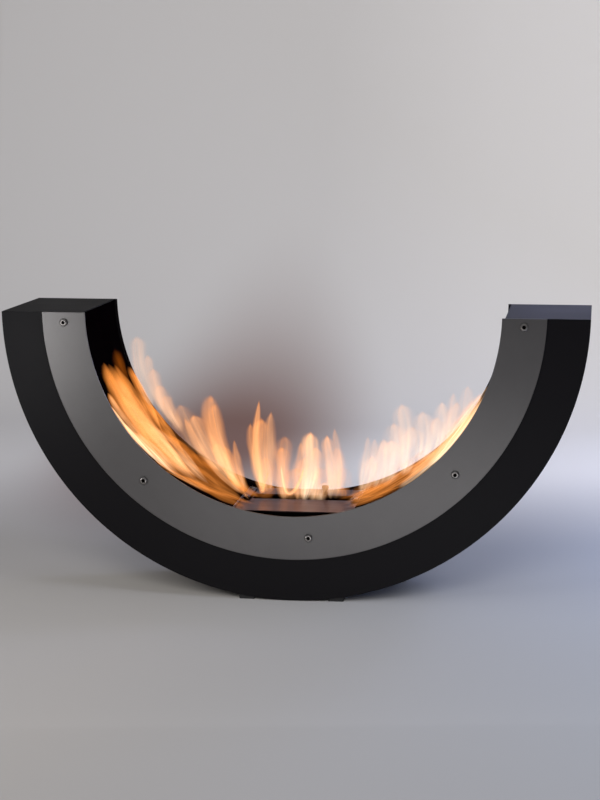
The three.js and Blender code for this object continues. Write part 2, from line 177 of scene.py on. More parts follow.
class FireplaceStage(bpy.types.PropertyGroup):
    """The studio."""

    floor: colour("Floor", "Grey of the floor", 0xA4A19F)
    # Painted light: a bluer grey that stands in for the bluish light on the floor at the right.
    floor_painted_blue_light: colour("Floor at the right", "Bluer grey of the floor at the right", 0xA2A6AE)
    wall: colour("Wall", "Pale grey of the backdrop", 0xDDDAD8)
    # Painted shadow: a darker mauve patch on the backdrop behind the hollow.
    painted_wall_shadow: colour("Dusk", "Darker mauve of the backdrop behind the hollow", 0x80584C)
    key: number("Left light", "Power of the light at the near left, in watts", 8.0, 1000.0)
    card: number("Left card", "Power of the card that shines in the left arm, in watts", 0.92, 1000.0)
    low_card: number("Low card", "Power of the card that shines in the lower trim, in watts", 1.0, 1000.0)
    top_card: number("Top card", "Power of the card that shines in the right arm, in watts", 0.85, 1000.0)
    rim: number("Right light", "Power of the high light at the right, in watts", 26.0, 1000.0)
    front: number("Front light", "Power of the wide light in front, in watts", 195.0, 1000.0)
    top: number("Top light", "Power of the wide light overhead, in watts", 6.0, 1000.0)
    back: number("Back light", "Power of the bluish light behind the right arm, in watts", 14.0, 1000.0)
    blue: number("Blue light", "Power of the low blue light at the right, in watts", 1.5, 1000.0)
    sky: number("Room light", "Strength of the even light all round", 0.29, 10.0)


GROUPS = {
    "fireplace_ring": FireplaceRing,
    "fireplace_burner": FireplaceBurner,
    "fireplace_flames": FireplaceFlames,
    "fireplace_finishes": FireplaceFinishes,
    "fireplace_stage": FireplaceStage,
}


def ring():
    return bpy.context.scene.fireplace_ring


def burner():
    return bpy.context.scene.fireplace_burner


def flames():
    return bpy.context.scene.fireplace_flames


def finishes():
    return bpy.context.scene.fireplace_finishes


def stage():
    return bpy.context.scene.fireplace_stage


def centre_height():
    """Height of the circle's centre: the outside's lowest point plus the outer radius."""
    return low("outer_skin").z + ring().outer_radius


def hearth_radius():
    return ring().outer_radius - ring().section


# ------------------------------------------------------------------ materials
def add(tree, kind, inputs=None, stops=None, **settings):
    """Adds a node, sets its settings, its colour stops and its sockets, and links a socket given as a value.
    A node given as a value stands for its first output."""
    made = tree.nodes.new("ShaderNode" + kind)
    for name, value in settings.items():
        setattr(made, name, value)
    for key, value in (inputs or {}).items():
        if isinstance(value, bpy.types.Node):
            value = value.outputs[0]
        if isinstance(value, bpy.types.NodeSocket):
            tree.links.new(value, made.inputs[key])
        else:
            made.inputs[key].default_value = value
    if stops:
        elements = made.color_ramp.elements
        while len(elements) < len(stops):
            elements.new(1.0)
        for element, (place, shade) in zip(elements, stops):
            element.position = place
            element.color = shade
    return made


def finish(maker):
    """The material of a maker function, made the first time it is asked for. The maker adds its nodes to the
    tree that it is given and returns the shader."""
    made = bpy.data.materials.get(maker.__name__)
    if not made:
        made = bpy.data.materials.new(maker.__name__)
        made.use_nodes = True
        made.node_tree.nodes.clear()
        add(made.node_tree, "OutputMaterial", {"Surface": maker(made.node_tree)})
    return made


def bumps(width):
    """The scale of a noise whose bumps are about so many millimetres wide, because two take up one unit."""
    return 1 / (2 * width * MM)


def shaded(shade, factor=1.0):
    """A colour made lighter or darker."""
    return tuple(min(1.0, c * factor) for c in shade[:3]) + (1.0,)


def polyester_powder_coat(tree, specular=0.18):
    """Satin black polyester powder coat, sprayed on sheet steel and baked. The melt leaves a low orange peel
    of about 1.5 mm, a fine grain of 0.25 mm, and a gloss that wanders a little over the sheet."""
    place = add(tree, "TexCoord").outputs["Object"]
    peel = add(tree, "TexNoise", {"Vector": place, "Scale": bumps(1.5), "Detail": 2.0})
    grain = add(tree, "TexNoise", {"Vector": place, "Scale": bumps(0.25), "Detail": 1.0})
    cloud = add(tree, "TexNoise", {"Vector": place, "Scale": bumps(60), "Detail": 3.0})
    melt = add(tree, "Bump", {"Height": peel, "Strength": 0.10, "Distance": 0.4 * MM})
    relief = add(tree, "Bump", {"Height": grain, "Strength": 0.08, "Distance": 0.2 * MM, "Normal": melt})
    base = finishes().powder
    tones = [(0.35, shaded(base, 0.86)), (0.7, shaded(base, 1.14))]
    tint = add(tree, "ValToRGB", {"Fac": cloud}, stops=tones)
    gloss = add(tree, "MapRange", {"Value": cloud, "To Min": 0.48, "To Max": 0.56})
    look = {"Base Color": tint, "Roughness": gloss, "Specular IOR Level": specular, "Normal": relief}
    return add(tree, "BsdfPrincipled", look)


def dusty_powder_coat(tree):
    """The same coat on the level arm tops, where fine dust has settled and takes most of the gloss."""
    return polyester_powder_coat(tree, specular=0.03)


def matt_stove_paint(tree):
    """Matt black high-temperature paint of the hearth: dry sprayed, so it has a sandy 0.6 mm grain, no gloss
    even at a glancing angle, and a trace of grey where it has burnt in."""
    place = add(tree, "TexCoord").outputs["Object"]
    grain = add(tree, "TexNoise", {"Vector": place, "Scale": bumps(0.6), "Detail": 2.0})
    burnt = add(tree, "TexNoise", {"Vector": place, "Scale": bumps(25), "Detail": 3.0})
    base = finishes().stove
    tint = add(tree, "ValToRGB", {"Fac": burnt}, stops=[(0.4, shaded(base)), (0.8, shaded(base, 1.5))])
    relief = add(tree, "Bump", {"Height": grain, "Strength": 0.3, "Distance": 0.3 * MM})
    look = {"Base Color": tint, "Roughness": 0.75, "Specular IOR Level": 0.0, "Normal": relief}
    return add(tree, "BsdfPrincipled", look)


def bead_blasted_steel(tree):
    """Grey stainless plate, bead blasted to a satin: fine even grain of 0.3 mm, no brush lines, soft broad
    reflections, faint cloudy variation from handling."""
    place = add(tree, "TexCoord").outputs["Object"]
    grain = add(tree, "TexNoise", {"Vector": place, "Scale": bumps(0.3), "Detail": 2.0})
    cloud = add(tree, "TexNoise", {"Vector": place, "Scale": bumps(45), "Detail": 4.0, "Roughness": 0.6})
    relief = add(tree, "Bump", {"Height": grain, "Strength": 0.12, "Distance": 0.2 * MM})
    base = finishes().trim
    tint = add(tree, "ValToRGB", {"Fac": cloud}, stops=[(0.3, shaded(base, 0.94)), (0.7, shaded(base, 1.05))])
    gloss = add(tree, "MapRange", {"Value": cloud, "To Min": 0.38, "To Max": 0.46})
    look = {"Base Color": tint, "Metallic": 1.0, "Roughness": gloss, "Normal": relief}
    return add(tree, "BsdfPrincipled", look)


def tumbled_stainless(tree):
    """Stainless screws and rivets, turned and tumbled bright: small sharp highlights and a slight tool haze.
    Painted shade darkens the colour deep in the sockets, where each screw's own attribute says so."""
    place = add(tree, "TexCoord").outputs["Object"]
    haze = add(tree, "TexNoise", {"Vector": place, "Scale": bumps(2), "Detail": 3.0})
    gloss = add(tree, "MapRange", {"Value": haze, "To Min": 0.22, "To Max": 0.36})
    # The socket attribute paints shade into the recess: clean steel at the mouth, dark colour deep down.
    painted_socket_shade = add(tree, "Attribute", attribute_name="painted_socket_shade").outputs["Fac"]
    clean, socket_shade_colour = shaded(finishes().screw), shaded(finishes().painted_socket_shade)
    shade = add(tree, "ValToRGB", {"Fac": painted_socket_shade}, stops=[(0.0, clean), (1.0, socket_shade_colour)])
    return add(tree, "BsdfPrincipled", {"Base Color": shade, "Metallic": 1.0, "Roughness": gloss})


def brushed_stainless(tree):
    """Burner plates and lid knob of brushed stainless: lines of about 0.8 mm along X, and a brown-mauve heat
    tint that is strongest beside the slot and fades over some 60 mm."""
    place = add(tree, "TexCoord").outputs["Object"]
    stretched = add(tree, "Mapping", {"Vector": place, "Scale": (bumps(45), bumps(0.8), bumps(0.8))})
    lines = add(tree, "TexNoise", {"Vector": stretched, "Scale": 1.0, "Detail": 3.0})
    reach_x, reach_y = 0.14, 0.075
    centre, spread = (0.0, -slot_middle() / reach_y, 0.0), (1 / reach_x, 1 / reach_y, 0.0)
    from_slot = add(tree, "Mapping", {"Vector": place, "Location": centre, "Scale": spread})
    distance = add(tree, "VectorMath", {0: from_slot}, operation="LENGTH").outputs["Value"]
    blotch = add(tree, "TexNoise", {"Vector": place, "Scale": bumps(15), "Detail": 3.0})
    wobble = add(tree, "MapRange", {"Value": blotch, "To Min": -0.25, "To Max": 0.25})
    heated = add(tree, "Math", {0: distance, 1: wobble}, operation="ADD")
    near, far, base = (shaded(c) for c in (finishes().heat_tint, finishes().straw, finishes().stainless))
    shade = add(tree, "ValToRGB", {"Fac": heated}, stops=[(0.15, near), (0.6, far), (1.0, base)])
    relief = add(tree, "Bump", {"Height": lines, "Strength": 0.10, "Distance": 0.2 * MM})
    gloss = add(tree, "MapRange", {"Value": lines, "To Min": 0.24, "To Max": 0.40})
    look = {"Base Color": shade, "Metallic": 1.0, "Roughness": gloss, "Normal": relief}
    return add(tree, "BsdfPrincipled", look | {"Specular Tint": (0.80, 0.72, 0.78, 1.0)})


def zinc_plate(tree):
    """Zinc-plated steel of hidden fittings: pale bluish spangle of about 6 mm, dull gloss."""
    place = add(tree, "TexCoord").outputs["Object"]
    spangle = add(tree, "TexVoronoi", {"Vector": place, "Scale": 1 / (6 * MM)}).outputs["Color"]
    grey = add(tree, "RGBToBW", {"Color": spangle})
    base = finishes().zinc
    shade = add(tree, "ValToRGB", {"Fac": grey}, stops=[(0.0, shaded(base, 0.82)), (1.0, shaded(base, 1.08))])
    gloss = add(tree, "MapRange", {"Value": grey, "To Min": 0.36, "To Max": 0.54})
    return add(tree, "BsdfPrincipled", {"Base Color": shade, "Metallic": 1.0, "Roughness": gloss})


def moulded_rubber(tree):
    """Black moulded rubber of the foot strips: matt, with a fine 0.5 mm grain and a little grey bloom."""
    place = add(tree, "TexCoord").outputs["Object"]
    grain = add(tree, "TexNoise", {"Vector": place, "Scale": bumps(0.5), "Detail": 2.0})
    bloom = add(tree, "TexNoise", {"Vector": place, "Scale": bumps(10), "Detail": 3.0})
    base = finishes().rubber
    shade = add(tree, "ValToRGB", {"Fac": bloom}, stops=[(0.4, shaded(base)), (0.8, shaded(base, 1.8))])
    relief = add(tree, "Bump", {"Height": grain, "Strength": 0.25, "Distance": 0.2 * MM})
    return add(tree, "BsdfPrincipled", {"Base Color": shade, "Roughness": 0.82, "Normal": relief})


def ceramic_wool(tree):
    """Needled ceramic fibre: matt off-white, matted fibres of about 1 mm, slightly scorched in patches."""
    place = add(tree, "TexCoord").outputs["Object"]
    fibres = add(tree, "TexNoise", {"Vector": place, "Scale": bumps(1), "Detail": 6.0, "Distortion": 1.5})
    scorch = add(tree, "TexNoise", {"Vector": place, "Scale": bumps(20), "Detail": 3.0})
    scorched, clean = linear(0xA89A88), shaded(finishes().fibre)
    shade = add(tree, "ValToRGB", {"Fac": scorch}, stops=[(0.4, scorched), (0.62, clean)])
    relief = add(tree, "Bump", {"Height": fibres, "Strength": 0.8, "Distance": 1 * MM})
    return add(tree, "BsdfPrincipled", {"Base Color": shade, "Roughness": 0.95, "Normal": relief})


def alcohol_flame(tree):
    """A luminous alcohol flame: thin glowing gas that adds its light to what is behind it. Each sheet carries
    its thickness, which fades to nothing at its edges, and its warmth, which picks the colour. Streaks of
    about 6 mm run along each tongue."""
    thickness = add(tree, "Attribute", attribute_name="thickness").outputs["Fac"]
    warmth = add(tree, "Attribute", attribute_name="warmth").outputs["Fac"]
    along = add(tree, "UVMap", uv_map="along")
    stretched = add(tree, "Mapping", {"Vector": along, "Scale": (bumps(6), bumps(42.5), 1.0)})
    grain = {"Vector": stretched, "Scale": 1.0, "Detail": 2.5, "Roughness": 0.45, "Distortion": 0.4}
    streaks = add(tree, "TexNoise", grain, noise_dimensions="2D")
    veil = add(tree, "MapRange", {"Value": streaks, "From Min": 0.3, "From Max": 0.7, "To Min": 0.5})
    seen = add(tree, "Math", {0: thickness, 1: veil}, operation="MULTIPLY")
    alpha = add(tree, "Math", {0: seen, 1: flames().thickness}, operation="MULTIPLY", use_clamp=True)
    shades = [shaded(c) for c in (flames().cool, flames().warm, flames().bright, flames().hot)]
    shade = add(tree, "ValToRGB", {"Fac": warmth}, stops=list(zip((0.0, 0.3, 0.6, 1.0), shades)))
    power = flames().brightness
    glow = add(tree, "MapRange", {"Value": warmth, "To Min": 1.2 * power, "To Max": 3.4 * power})
    gas = {"Base Color": (0.0, 0.0, 0.0, 1.0), "Roughness": 1.0, "Specular IOR Level": 0.0, "Alpha": alpha}
    return add(tree, "BsdfPrincipled", gas | {"Emission Color": shade, "Emission Strength": glow})


def matt_studio_paint(tree):
    """Matt studio paint: a grey floor with painted shade at the left and towards the front and a painted
    bluish light at the right, a paler wall with painted light that brightens it to the right and painted
    shade at the far left, and a soft mauve painted shadow behind the hollow. Floor and wall blend into
    each other about a metre behind the fireplace. The sweep is painted on its inner side only and clear
    from outside, so the object shows from behind too."""
    place = add(tree, "TexCoord").outputs["Object"]
    axes = add(tree, "SeparateXYZ", {"Vector": place})
    x, y = axes.outputs["X"], axes.outputs["Y"]
    floor, wall = stage().floor, stage().wall
    # Painted light on the floor: a darker grey at the left and a painted bluish light at the right.
    across = add(tree, "MapRange", {"Value": x, "From Min": -3.0, "From Max": 0.7})
    greys = [(0.4, shaded(floor, 0.93)), (0.75, shaded(floor)), (1.0, shaded(stage().floor_painted_blue_light))]
    ground = add(tree, "ValToRGB", {"Fac": across}, stops=greys)
    # Painted light and shade on the wall: dark at the far left, brightening towards the right.
    steps = [(0.0, 0.45), (0.36, 0.65), (0.43, 0.96), (0.72, 1.0), (0.86, 1.16), (1.0, 1.26)]
    backdrop = add(tree, "ValToRGB", {"Fac": across}, stops=[(at, shaded(wall, part)) for at, part in steps])
    # Painted shade: the floor darkens towards the camera, to 0.45 of its grey.
    near = add(tree, "MapRange", {"Value": y, "From Min": -2.4, "From Max": -0.2})
    painted_front_shade = add(tree, "MixRGB", {0: near, 1: shaded(floor, 0.45), 2: ground})
    bend = {"Value": y, "From Min": 0.3, "From Max": 1.3}
    behind = add(tree, "MapRange", bend, interpolation_type="SMOOTHSTEP")
    sweep = add(tree, "MixRGB", {0: behind, 1: painted_front_shade, 2: backdrop})
    # Painted shadow: a soft mauve patch on the floor and wall behind the hollow.
    shadow_x, shadow_y, reach_x, reach_y = -0.43, 1.55, 0.46, 1.35
    centre, spread = (-shadow_x / reach_x, -shadow_y / reach_y, 0.0), (1 / reach_x, 1 / reach_y, 0.0)
    around = add(tree, "Mapping", {"Vector": place, "Location": centre, "Scale": spread})
    distance = add(tree, "VectorMath", {0: around}, operation="LENGTH").outputs["Value"]
    fade = {"Value": distance, "From Min": 1.0, "From Max": 0.2, "To Max": 0.9}
    painted_wall_shadow = add(tree, "MapRange", fade, interpolation_type="SMOOTHSTEP")
    shade = add(tree, "MixRGB", {0: painted_wall_shadow, 1: sweep, 2: shaded(stage().painted_wall_shadow)})
    skin = add(tree, "BsdfPrincipled", {"Base Color": shade, "Roughness": 0.75, "Specular IOR Level": 0.1})
    outside = add(tree, "NewGeometry").outputs["Backfacing"]
    return add(tree, "MixShader", {0: outside, 1: skin, 2: add(tree, "BsdfTransparent")})


MAKERS = {
    "black_powder_coat": polyester_powder_coat,
    "satin_grey_steel": bead_blasted_steel,
    "screw_steel": tumbled_stainless,
    "burner_stainless": brushed_stainless,
    "zinc_plated_steel": zinc_plate,
    "black_rubber": moulded_rubber,
    "ceramic_fibre": ceramic_wool,
}


# ------------------------------------------------------------------ meshes
def mesh_object(name, points, faces, material, closed=True):
    """A mesh at the origin. On a closed shape, points that coincide are merged and the faces turned out."""
    mesh = bpy.data.meshes.new(name)
    mesh.from_pydata(points.reshape(-1, 3).tolist(), [], faces)
    if closed:
        work = bmesh.new()
        work.from_mesh(mesh)
        bmesh.ops.remove_doubles(work, verts=work.verts, dist=1e-6)
        bmesh.ops.recalc_face_normals(work, faces=work.faces)
        work.to_mesh(mesh)
        work.free()
    mesh.shade_smooth()
    mesh.materials.append(material)
    made = bpy.data.objects.new(name, mesh)
    bpy.context.scene.collection.objects.link(made)
    return made


def round_edges(made, width):
    """A small bevel on every edge that is sharper than SHARP."""
    rounding = made.modifiers.new("rounding", "BEVEL")
    rounding.width = width
    rounding.segments = 2
    rounding.limit_method = "ANGLE"
    rounding.angle_limit = SHARP
    rounding.harden_normals = True


def piece(name, points, faces, slot, body, *stands_for, edge=0.0):
    """A piece in the finish of its slot. It rides on a body and stands for nodes of the frame."""
    made = mesh_object(name, points, faces, finish(MAKERS[slot]))
    if edge:
        round_edges(made, edge)
    else:
        made.data.set_sharp_from_angle(angle=SHARP)
    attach(made, body)
    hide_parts(*stands_for)
    return made


def dress(names, slot, edge=0.3 * MM):
    """Gives nodes of the frame a finish, merges their loose triangles and rounds their edges."""
    for name in names:
        node = NODES[name]
        node.data.materials.clear()
        node.data.materials.append(finish(MAKERS[slot]))
        weld = node.modifiers.new("weld", "WELD")
        weld.merge_threshold = 1e-5
        round_edges(node, edge)


def ring_faces(rows, columns, wrap=False, caps=False):
    """Quads between neighbouring rows of a grid whose columns close on themselves. The rows close too with
    wrap, and the first and the last row are filled with caps."""
    index = np.arange(rows * columns).reshape(rows, columns)
    ends = [index[0].tolist(), index[-1].tolist()] if caps else []
    if wrap:
        index = np.vstack([index, index[:1]])
    ahead = np.roll(index, -1, axis=1)
    quads = np.stack([index[:-1], index[1:], ahead[1:], ahead[:-1]], axis=-1)
    return quads.reshape(-1, 4).tolist() + ends


def sheet_faces(keep):
    """Quads of a sheet with windows, whose two sides are grids of points one after the other. keep says
    which cells stand. A wall joins the sides wherever a cell that stands meets one that doesn't."""
    rows, columns = keep.shape
    index = np.arange((rows + 1) * (columns + 1)).reshape(rows + 1, columns + 1)
    other = index.size
    cells = np.stack([index[:-1, :-1], index[1:, :-1], index[1:, 1:], index[:-1, 1:]], axis=-1)[keep]
    ringed = np.pad(keep, 1)
    across = ringed[:-1, 1:-1] != ringed[1:, 1:-1]
    beside = ringed[1:-1, :-1] != ringed[1:-1, 1:]
    starts = np.concatenate([index[:, :-1][across], index[:-1, :][beside]])
    ends = np.concatenate([index[:, 1:][across], index[1:, :][beside]])
    walls = np.stack([starts, ends, ends + other, starts + other], axis=-1)
    return np.concatenate([cells, cells[:, ::-1] + other, walls]).tolist()


def arc_points(radius, along, top):
    """x and z of points on the lower half of a circle about the ring's centre: x = r cos t, z = c - r sin t,
    where t runs from asin(top / r) to pi less that as along goes from 0 to 1. So every radius ends level, at
    the distance top below the centre."""
    start = np.arcsin(top / radius)
    turn = start + along * (np.pi - 2 * start)
    return radius * np.cos(turn), centre_height() - radius * np.sin(turn)


def half_ring(inner, outer, front, back, top):
    """A rectangle in radius and y carried along the lower half of a circle, its ends cut level."""
    radius = np.array([inner, outer, outer, inner])
    y = np.array([front, front, back, back])
    along = np.linspace(0, 1, ring().steps + 1)[:, None]
    x, z = arc_points(radius, along, top)
    points = np.stack([x, y + 0 * x, z], axis=-1)
    return points, ring_faces(len(along), 4, caps=True)


def rounded_rectangle(half_x, half_y, radius, centre=(0.0, 0.0), corner_steps=8):
    """An outline of four quarter circles joined by straight sides: corner centres at (+-(half_x - radius),
    +-(half_y - radius)), with a circle of that radius carried on through 90 degrees at each."""
    quarter = np.linspace(0, np.pi / 2, corner_steps + 1)
    turn = (quarter + np.pi / 2 * np.arange(4)[:, None]).ravel()
    side_x = np.repeat([1, -1, -1, 1], corner_steps + 1)
    side_y = np.repeat([1, 1, -1, -1], corner_steps + 1)
    x = centre[0] + side_x * (half_x - radius) + radius * np.cos(turn)
    y = centre[1] + side_y * (half_y - radius) + radius * np.sin(turn)
    return np.stack([x, y], axis=-1)


def lifted(outline, z):
    """A flat outline put at a height."""
    return np.column_stack([outline, np.full(len(outline), z)])


def plate(outline, bottom, top):
    """A flat outline carried up from one height to another."""
    return np.stack([lifted(outline, bottom), lifted(outline, top)]), ring_faces(2, len(outline), caps=True)


def turned(radius, height, turns=72):
    """A turned shape about +Z: ring i has radius r_i(a) and height h_i, at (r cos a, r sin a, h)."""
    angle = np.linspace(0, 2 * np.pi, turns, endpoint=False)
    radius = np.broadcast_to(radius, (len(height), turns))
    x, y = radius * np.cos(angle), radius * np.sin(angle)
    return np.stack([x, y, np.broadcast_to(np.reshape(height, (-1, 1)), x.shape)], axis=-1)


# ------------------------------------------------------------------ casing
class FIREPLACE_OT_black_sheets(bpy.types.Operator):
    """Make the black front panel and the rear cover, each a laser-cut half ring"""

    bl_idname = "fireplace.black_sheets"
    bl_label = "Front panel and rear cover"

    def execute(self, context):
        outer, drop = ring().outer_radius, ring().tip_drop
        inner = hearth_radius()
        front = half_ring(inner, outer, low("front_panel").y, high("front_panel").y, drop)
        piece("front_sheet", *front, "black_powder_coat", "casing", "front_panel", edge=ring().edge)
        back = half_ring(inner - ring().lip, outer, low("rear_cover").y, high("rear_cover").y, drop)
        piece("back_sheet", *back, "black_powder_coat", "casing", "rear_cover", edge=ring().edge)
        return {"FINISHED"}


class FIREPLACE_OT_trim(bpy.types.Operator):
    """Make the grey trim plate of the front"""

    bl_idname = "fireplace.trim"
    bl_label = "Trim plate"

    def execute(self, context):
        inner = hearth_radius() - ring().lip
        outer = inner + ring().trim_width
        plate = half_ring(inner, outer, low("trim_plate").y, high("trim_plate").y, ring().tip_drop)
        piece("grey_trim", *plate, "satin_grey_steel", "casing", "trim_plate", edge=ring().edge)
        return {"FINISHED"}


class FIREPLACE_OT_rolled_skins(bpy.types.Operator):
    """Make the rolled outer skin, and the hearth skin with the burner's cut-out"""

    bl_idname = "fireplace.rolled_skins"
    bl_label = "Rolled skins"

    def execute(self, context):
        top = centre_height() - high("outer_skin").z
        front, back = low("outer_skin").y, high("outer_skin").y
        sheet = high("left_end_cap").z - low("left_end_cap").z
        outer = half_ring(ring().outer_radius - sheet, ring().outer_radius, front, back, top)
        piece("outer_rolled_sheet", *outer, "black_powder_coat", "casing", "outer_skin", edge=ring().edge)
        self.hearth(top, front, back, sheet)
        return {"FINISHED"}

    def hearth(self, top, front, back, sheet):
        """Two concentric half cylinders on a grid of angle and y, with lines along the cut-out's edges."""
        gap = 1 * MM  # the cut-out clears the deck by this
        deck_low, deck_high = low("burner_deck"), high("burner_deck")
        radius = hearth_radius()
        start = math.asin(top / radius)
        edge = (math.acos((deck_high.x + gap) / radius) - start) / (math.pi - 2 * start)
        arm, middle = np.linspace(0, edge, 150), np.linspace(edge, 1 - edge, 61)
        along = np.concatenate([arm[:-1], middle, 1 - arm[-2::-1]])
        y = np.array([front, deck_low.y - gap, deck_high.y + gap, back])
        sides = []
        for r in (radius, radius + sheet):
            x, z = arc_points(r, along[:, None], top)
            sides.append(np.stack(np.broadcast_arrays(x, y, z), axis=-1))
        keep = np.ones((len(along) - 1, len(y) - 1), bool)
        keep[len(arm) - 1 : len(arm) - 1 + len(middle) - 1, 1] = False
        shape = np.concatenate([side.reshape(-1, 3) for side in sides]), sheet_faces(keep)
        made = piece("hearth_sheet", *shape, "black_powder_coat", "casing", "inner_skin", edge=ring().edge)
        made.data.materials[0] = finish(matt_stove_paint)


class FIREPLACE_OT_arm_caps(bpy.types.Operator):
    """Make the plates that close the two arm tops"""

    bl_idname = "fireplace.arm_caps"
    bl_label = "Arm caps"

    def execute(self, context):
        for side in ("left", "right"):
            node = f"{side}_end_cap"
            half_x, half_y, middle = plan(node)
            outline = rounded_rectangle(half_x, half_y, 0.6 * MM, middle, corner_steps=3)
            shape = plate(outline, low(node).z, high(node).z)
            made = piece(f"{side}_arm_cap", *shape, "black_powder_coat", "casing", node, edge=0.4 * MM)
            made.data.materials[0] = finish(dusty_powder_coat)
        return {"FINISHED"}


class FIREPLACE_OT_button_screws(bpy.types.Operator):
    """Make the button-head hex-socket screws of the trim plate and of the rear cover"""

    bl_idname = "fireplace.button_screws"
    bl_label = "Button-head screws"

    # Metric sizes in millimetres: across the socket's flats, its depth, head height, thread pitch.
    SIZES = {
        "trim": {"socket": 6.0, "depth": 2.6, "head": 4.4, "pitch": 1.25},
        "rear": {"socket": 3.0, "depth": 1.5, "head": 2.75, "pitch": 0.8},
    }
    SHANK = 0.57  # the shank's radius, as a share of the head's
    CROWN = 1.32  # the flat crown's radius, as a share of half the socket's width

    def execute(self, context):
        for kind, towards in (("trim", -1), ("rear", 1)):
            for name in sorted(n for n in NODES if n.startswith(kind + "_screw")):
                a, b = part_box(name)
                middle_x, middle_z = (a.x + b.x) / 2, (a.z + b.z) / 2
                tip, crown = (b.y, a.y) if towards < 0 else (a.y, b.y)
                points = self.points(self.SIZES[kind], (b.x - a.x) / 2, b.y - a.y)
                # The shape stands along +Z, head up: turn its +Z to -Y or to +Y.
                x, y, z = points[..., 0] * -towards, points[..., 2] * towards, points[..., 1]
                placed = np.stack([x + middle_x, y + tip, z + middle_z], axis=-1)
                faces = ring_faces(*placed.shape[:2])
                made = piece(f"button_{name}", placed, faces, "screw_steel", "casing", name)
                self.paint_socket_shade(made, middle_x, middle_z, crown, self.SIZES[kind])
        return {"FINISHED"}

    def paint_socket_shade(self, made, x, z, crown, size):
        """Painted shade from 0 at the socket's mouth to 1 at two fifths of its depth, inside the hexagon
        only.
        """
        mesh = made.data
        place = np.empty(len(mesh.vertices) * 3, np.float32)
        mesh.vertices.foreach_get("co", place)
        place = place.reshape(-1, 3)
        inside = np.hypot(place[:, 0] - x, place[:, 2] - z) < size["socket"] * 0.6 * MM
        deep = np.clip(np.abs(place[:, 1] - crown) / (0.4 * size["depth"] * MM), 0, 1) * inside
        mesh.attributes.new("painted_socket_shade", "FLOAT", "POINT").data.foreach_set("value", deep.astype(np.float32))

    def points(self, size, head_radius, full_length):
        """A screw about +Z from its tip at 0 to its crown. Down in the socket the ring is the hexagon
        r(a) = w / 2 / cos((a mod 60) - 30), and elsewhere a circle. The dome is a quarter ellipse, and the
        thread is r(a, h) = r0 - d |2 frac(h / pitch - a / 360) - 1|."""
        turns = 72
        angle = np.linspace(0, 2 * np.pi, turns, endpoint=False)
        half = size["socket"] / 2 * MM
        hexagon = half / np.cos(np.mod(angle, np.pi / 3) - np.pi / 6)
        round_ring = np.ones(turns)
        crown, seat = full_length, full_length - size["head"] * MM
        floor = crown - size["depth"] * MM
        shank, pitch = self.SHANK * head_radius, size["pitch"] * MM
        chamfer, rim, drill_tip, lead_in, run_out = 0.2 * MM, 0.35 * MM, 0.4 * MM, 0.8 * MM, 1.5 * MM
        thread_rows = np.arange(lead_in, seat - run_out, pitch / 6)
        phase = np.mod(thread_rows[:, None] / pitch - angle / (2 * np.pi), 1)
        thread = shank - 0.6 * pitch * np.abs(2 * phase - 1)
        quarter = np.linspace(0, np.pi / 2, 9)[:, None]
        crown_radius = self.CROWN * half
        dome = crown_radius + (head_radius - crown_radius) * np.sin(quarter)
        dome_height = seat + rim + (crown - seat - rim) * np.cos(quarter)
        rows = [
            (0.0 * round_ring, floor - drill_tip),
            (hexagon, floor),
            (hexagon, crown - 0.3 * MM),
            (hexagon + chamfer, crown - 0.05 * MM),
            *zip(dome * round_ring, dome_height[:, 0]),
            ((head_radius - chamfer) * round_ring, seat),
            (shank * round_ring, seat),
            (0.9 * shank * round_ring, seat - 0.6 * MM),
            *zip(thread[::-1], thread_rows[::-1]),
            (0.72 * shank * round_ring, 0.0),
            (0.0 * round_ring, 0.0),
        ]
        radius = np.array([row[0] for row in rows])
        return turned(radius, np.array([row[1] for row in rows]), turns)


class FIREPLACE_OT_hidden_fittings(bpy.types.Operator):
    """Give the nuts, standoffs, tray, rails and foot strips their finish"""

    bl_idname = "fireplace.hidden_fittings"
    bl_label = "Hidden fittings and feet"

    def execute(self, context):
        zinc = [n for n in NODES if "_nut_" in n or "standoff" in n or "rail" in n] + ["safety_tray"]
        dress(zinc, "zinc_plated_steel")
        dress([n for n in NODES if n.startswith("foot_screw")], "screw_steel", 0.15 * MM)
        dress(["left_foot_strip", "right_foot_strip"], "black_rubber", 0.8 * MM)
        return {"FINISHED"}


# ------------------------------------------------------------------ burner
def slot_middle():
    """Middle of the flame slot in y, from the parked lid's front edge."""
    return low("slide_lid").y - burner().slot_gap - burner().slot_width / 2


class FIREPLACE_OT_deck(bpy.types.Operator):
    """Make the burner's deck, a brushed plate with the flame slot"""

    bl_idname = "fireplace.deck"
    bl_label = "Burner deck"

    def execute(self, context):
        half_x, half_y, middle = plan("burner_deck")
        bottom, top = low("burner_deck").z, high("burner_deck").z
        sizes = burner()
        slot_x, slot_y = sizes.slot_length / 2, sizes.slot_width / 2
        outer = rounded_rectangle(half_x, half_y, sizes.deck_corner, middle)
        slot = rounded_rectangle(slot_x, slot_y, sizes.slot_corner, (0.0, slot_middle()))
        rows = [(outer, top), (slot, top), (slot, bottom), (outer, bottom)]
        points = np.stack([lifted(outline, z) for outline, z in rows])
        faces = ring_faces(4, len(outer), wrap=True)
        piece("burner_top", points, faces, "burner_stainless", "burner", "burner_deck", edge=0.4 * MM)
        return {"FINISHED"}


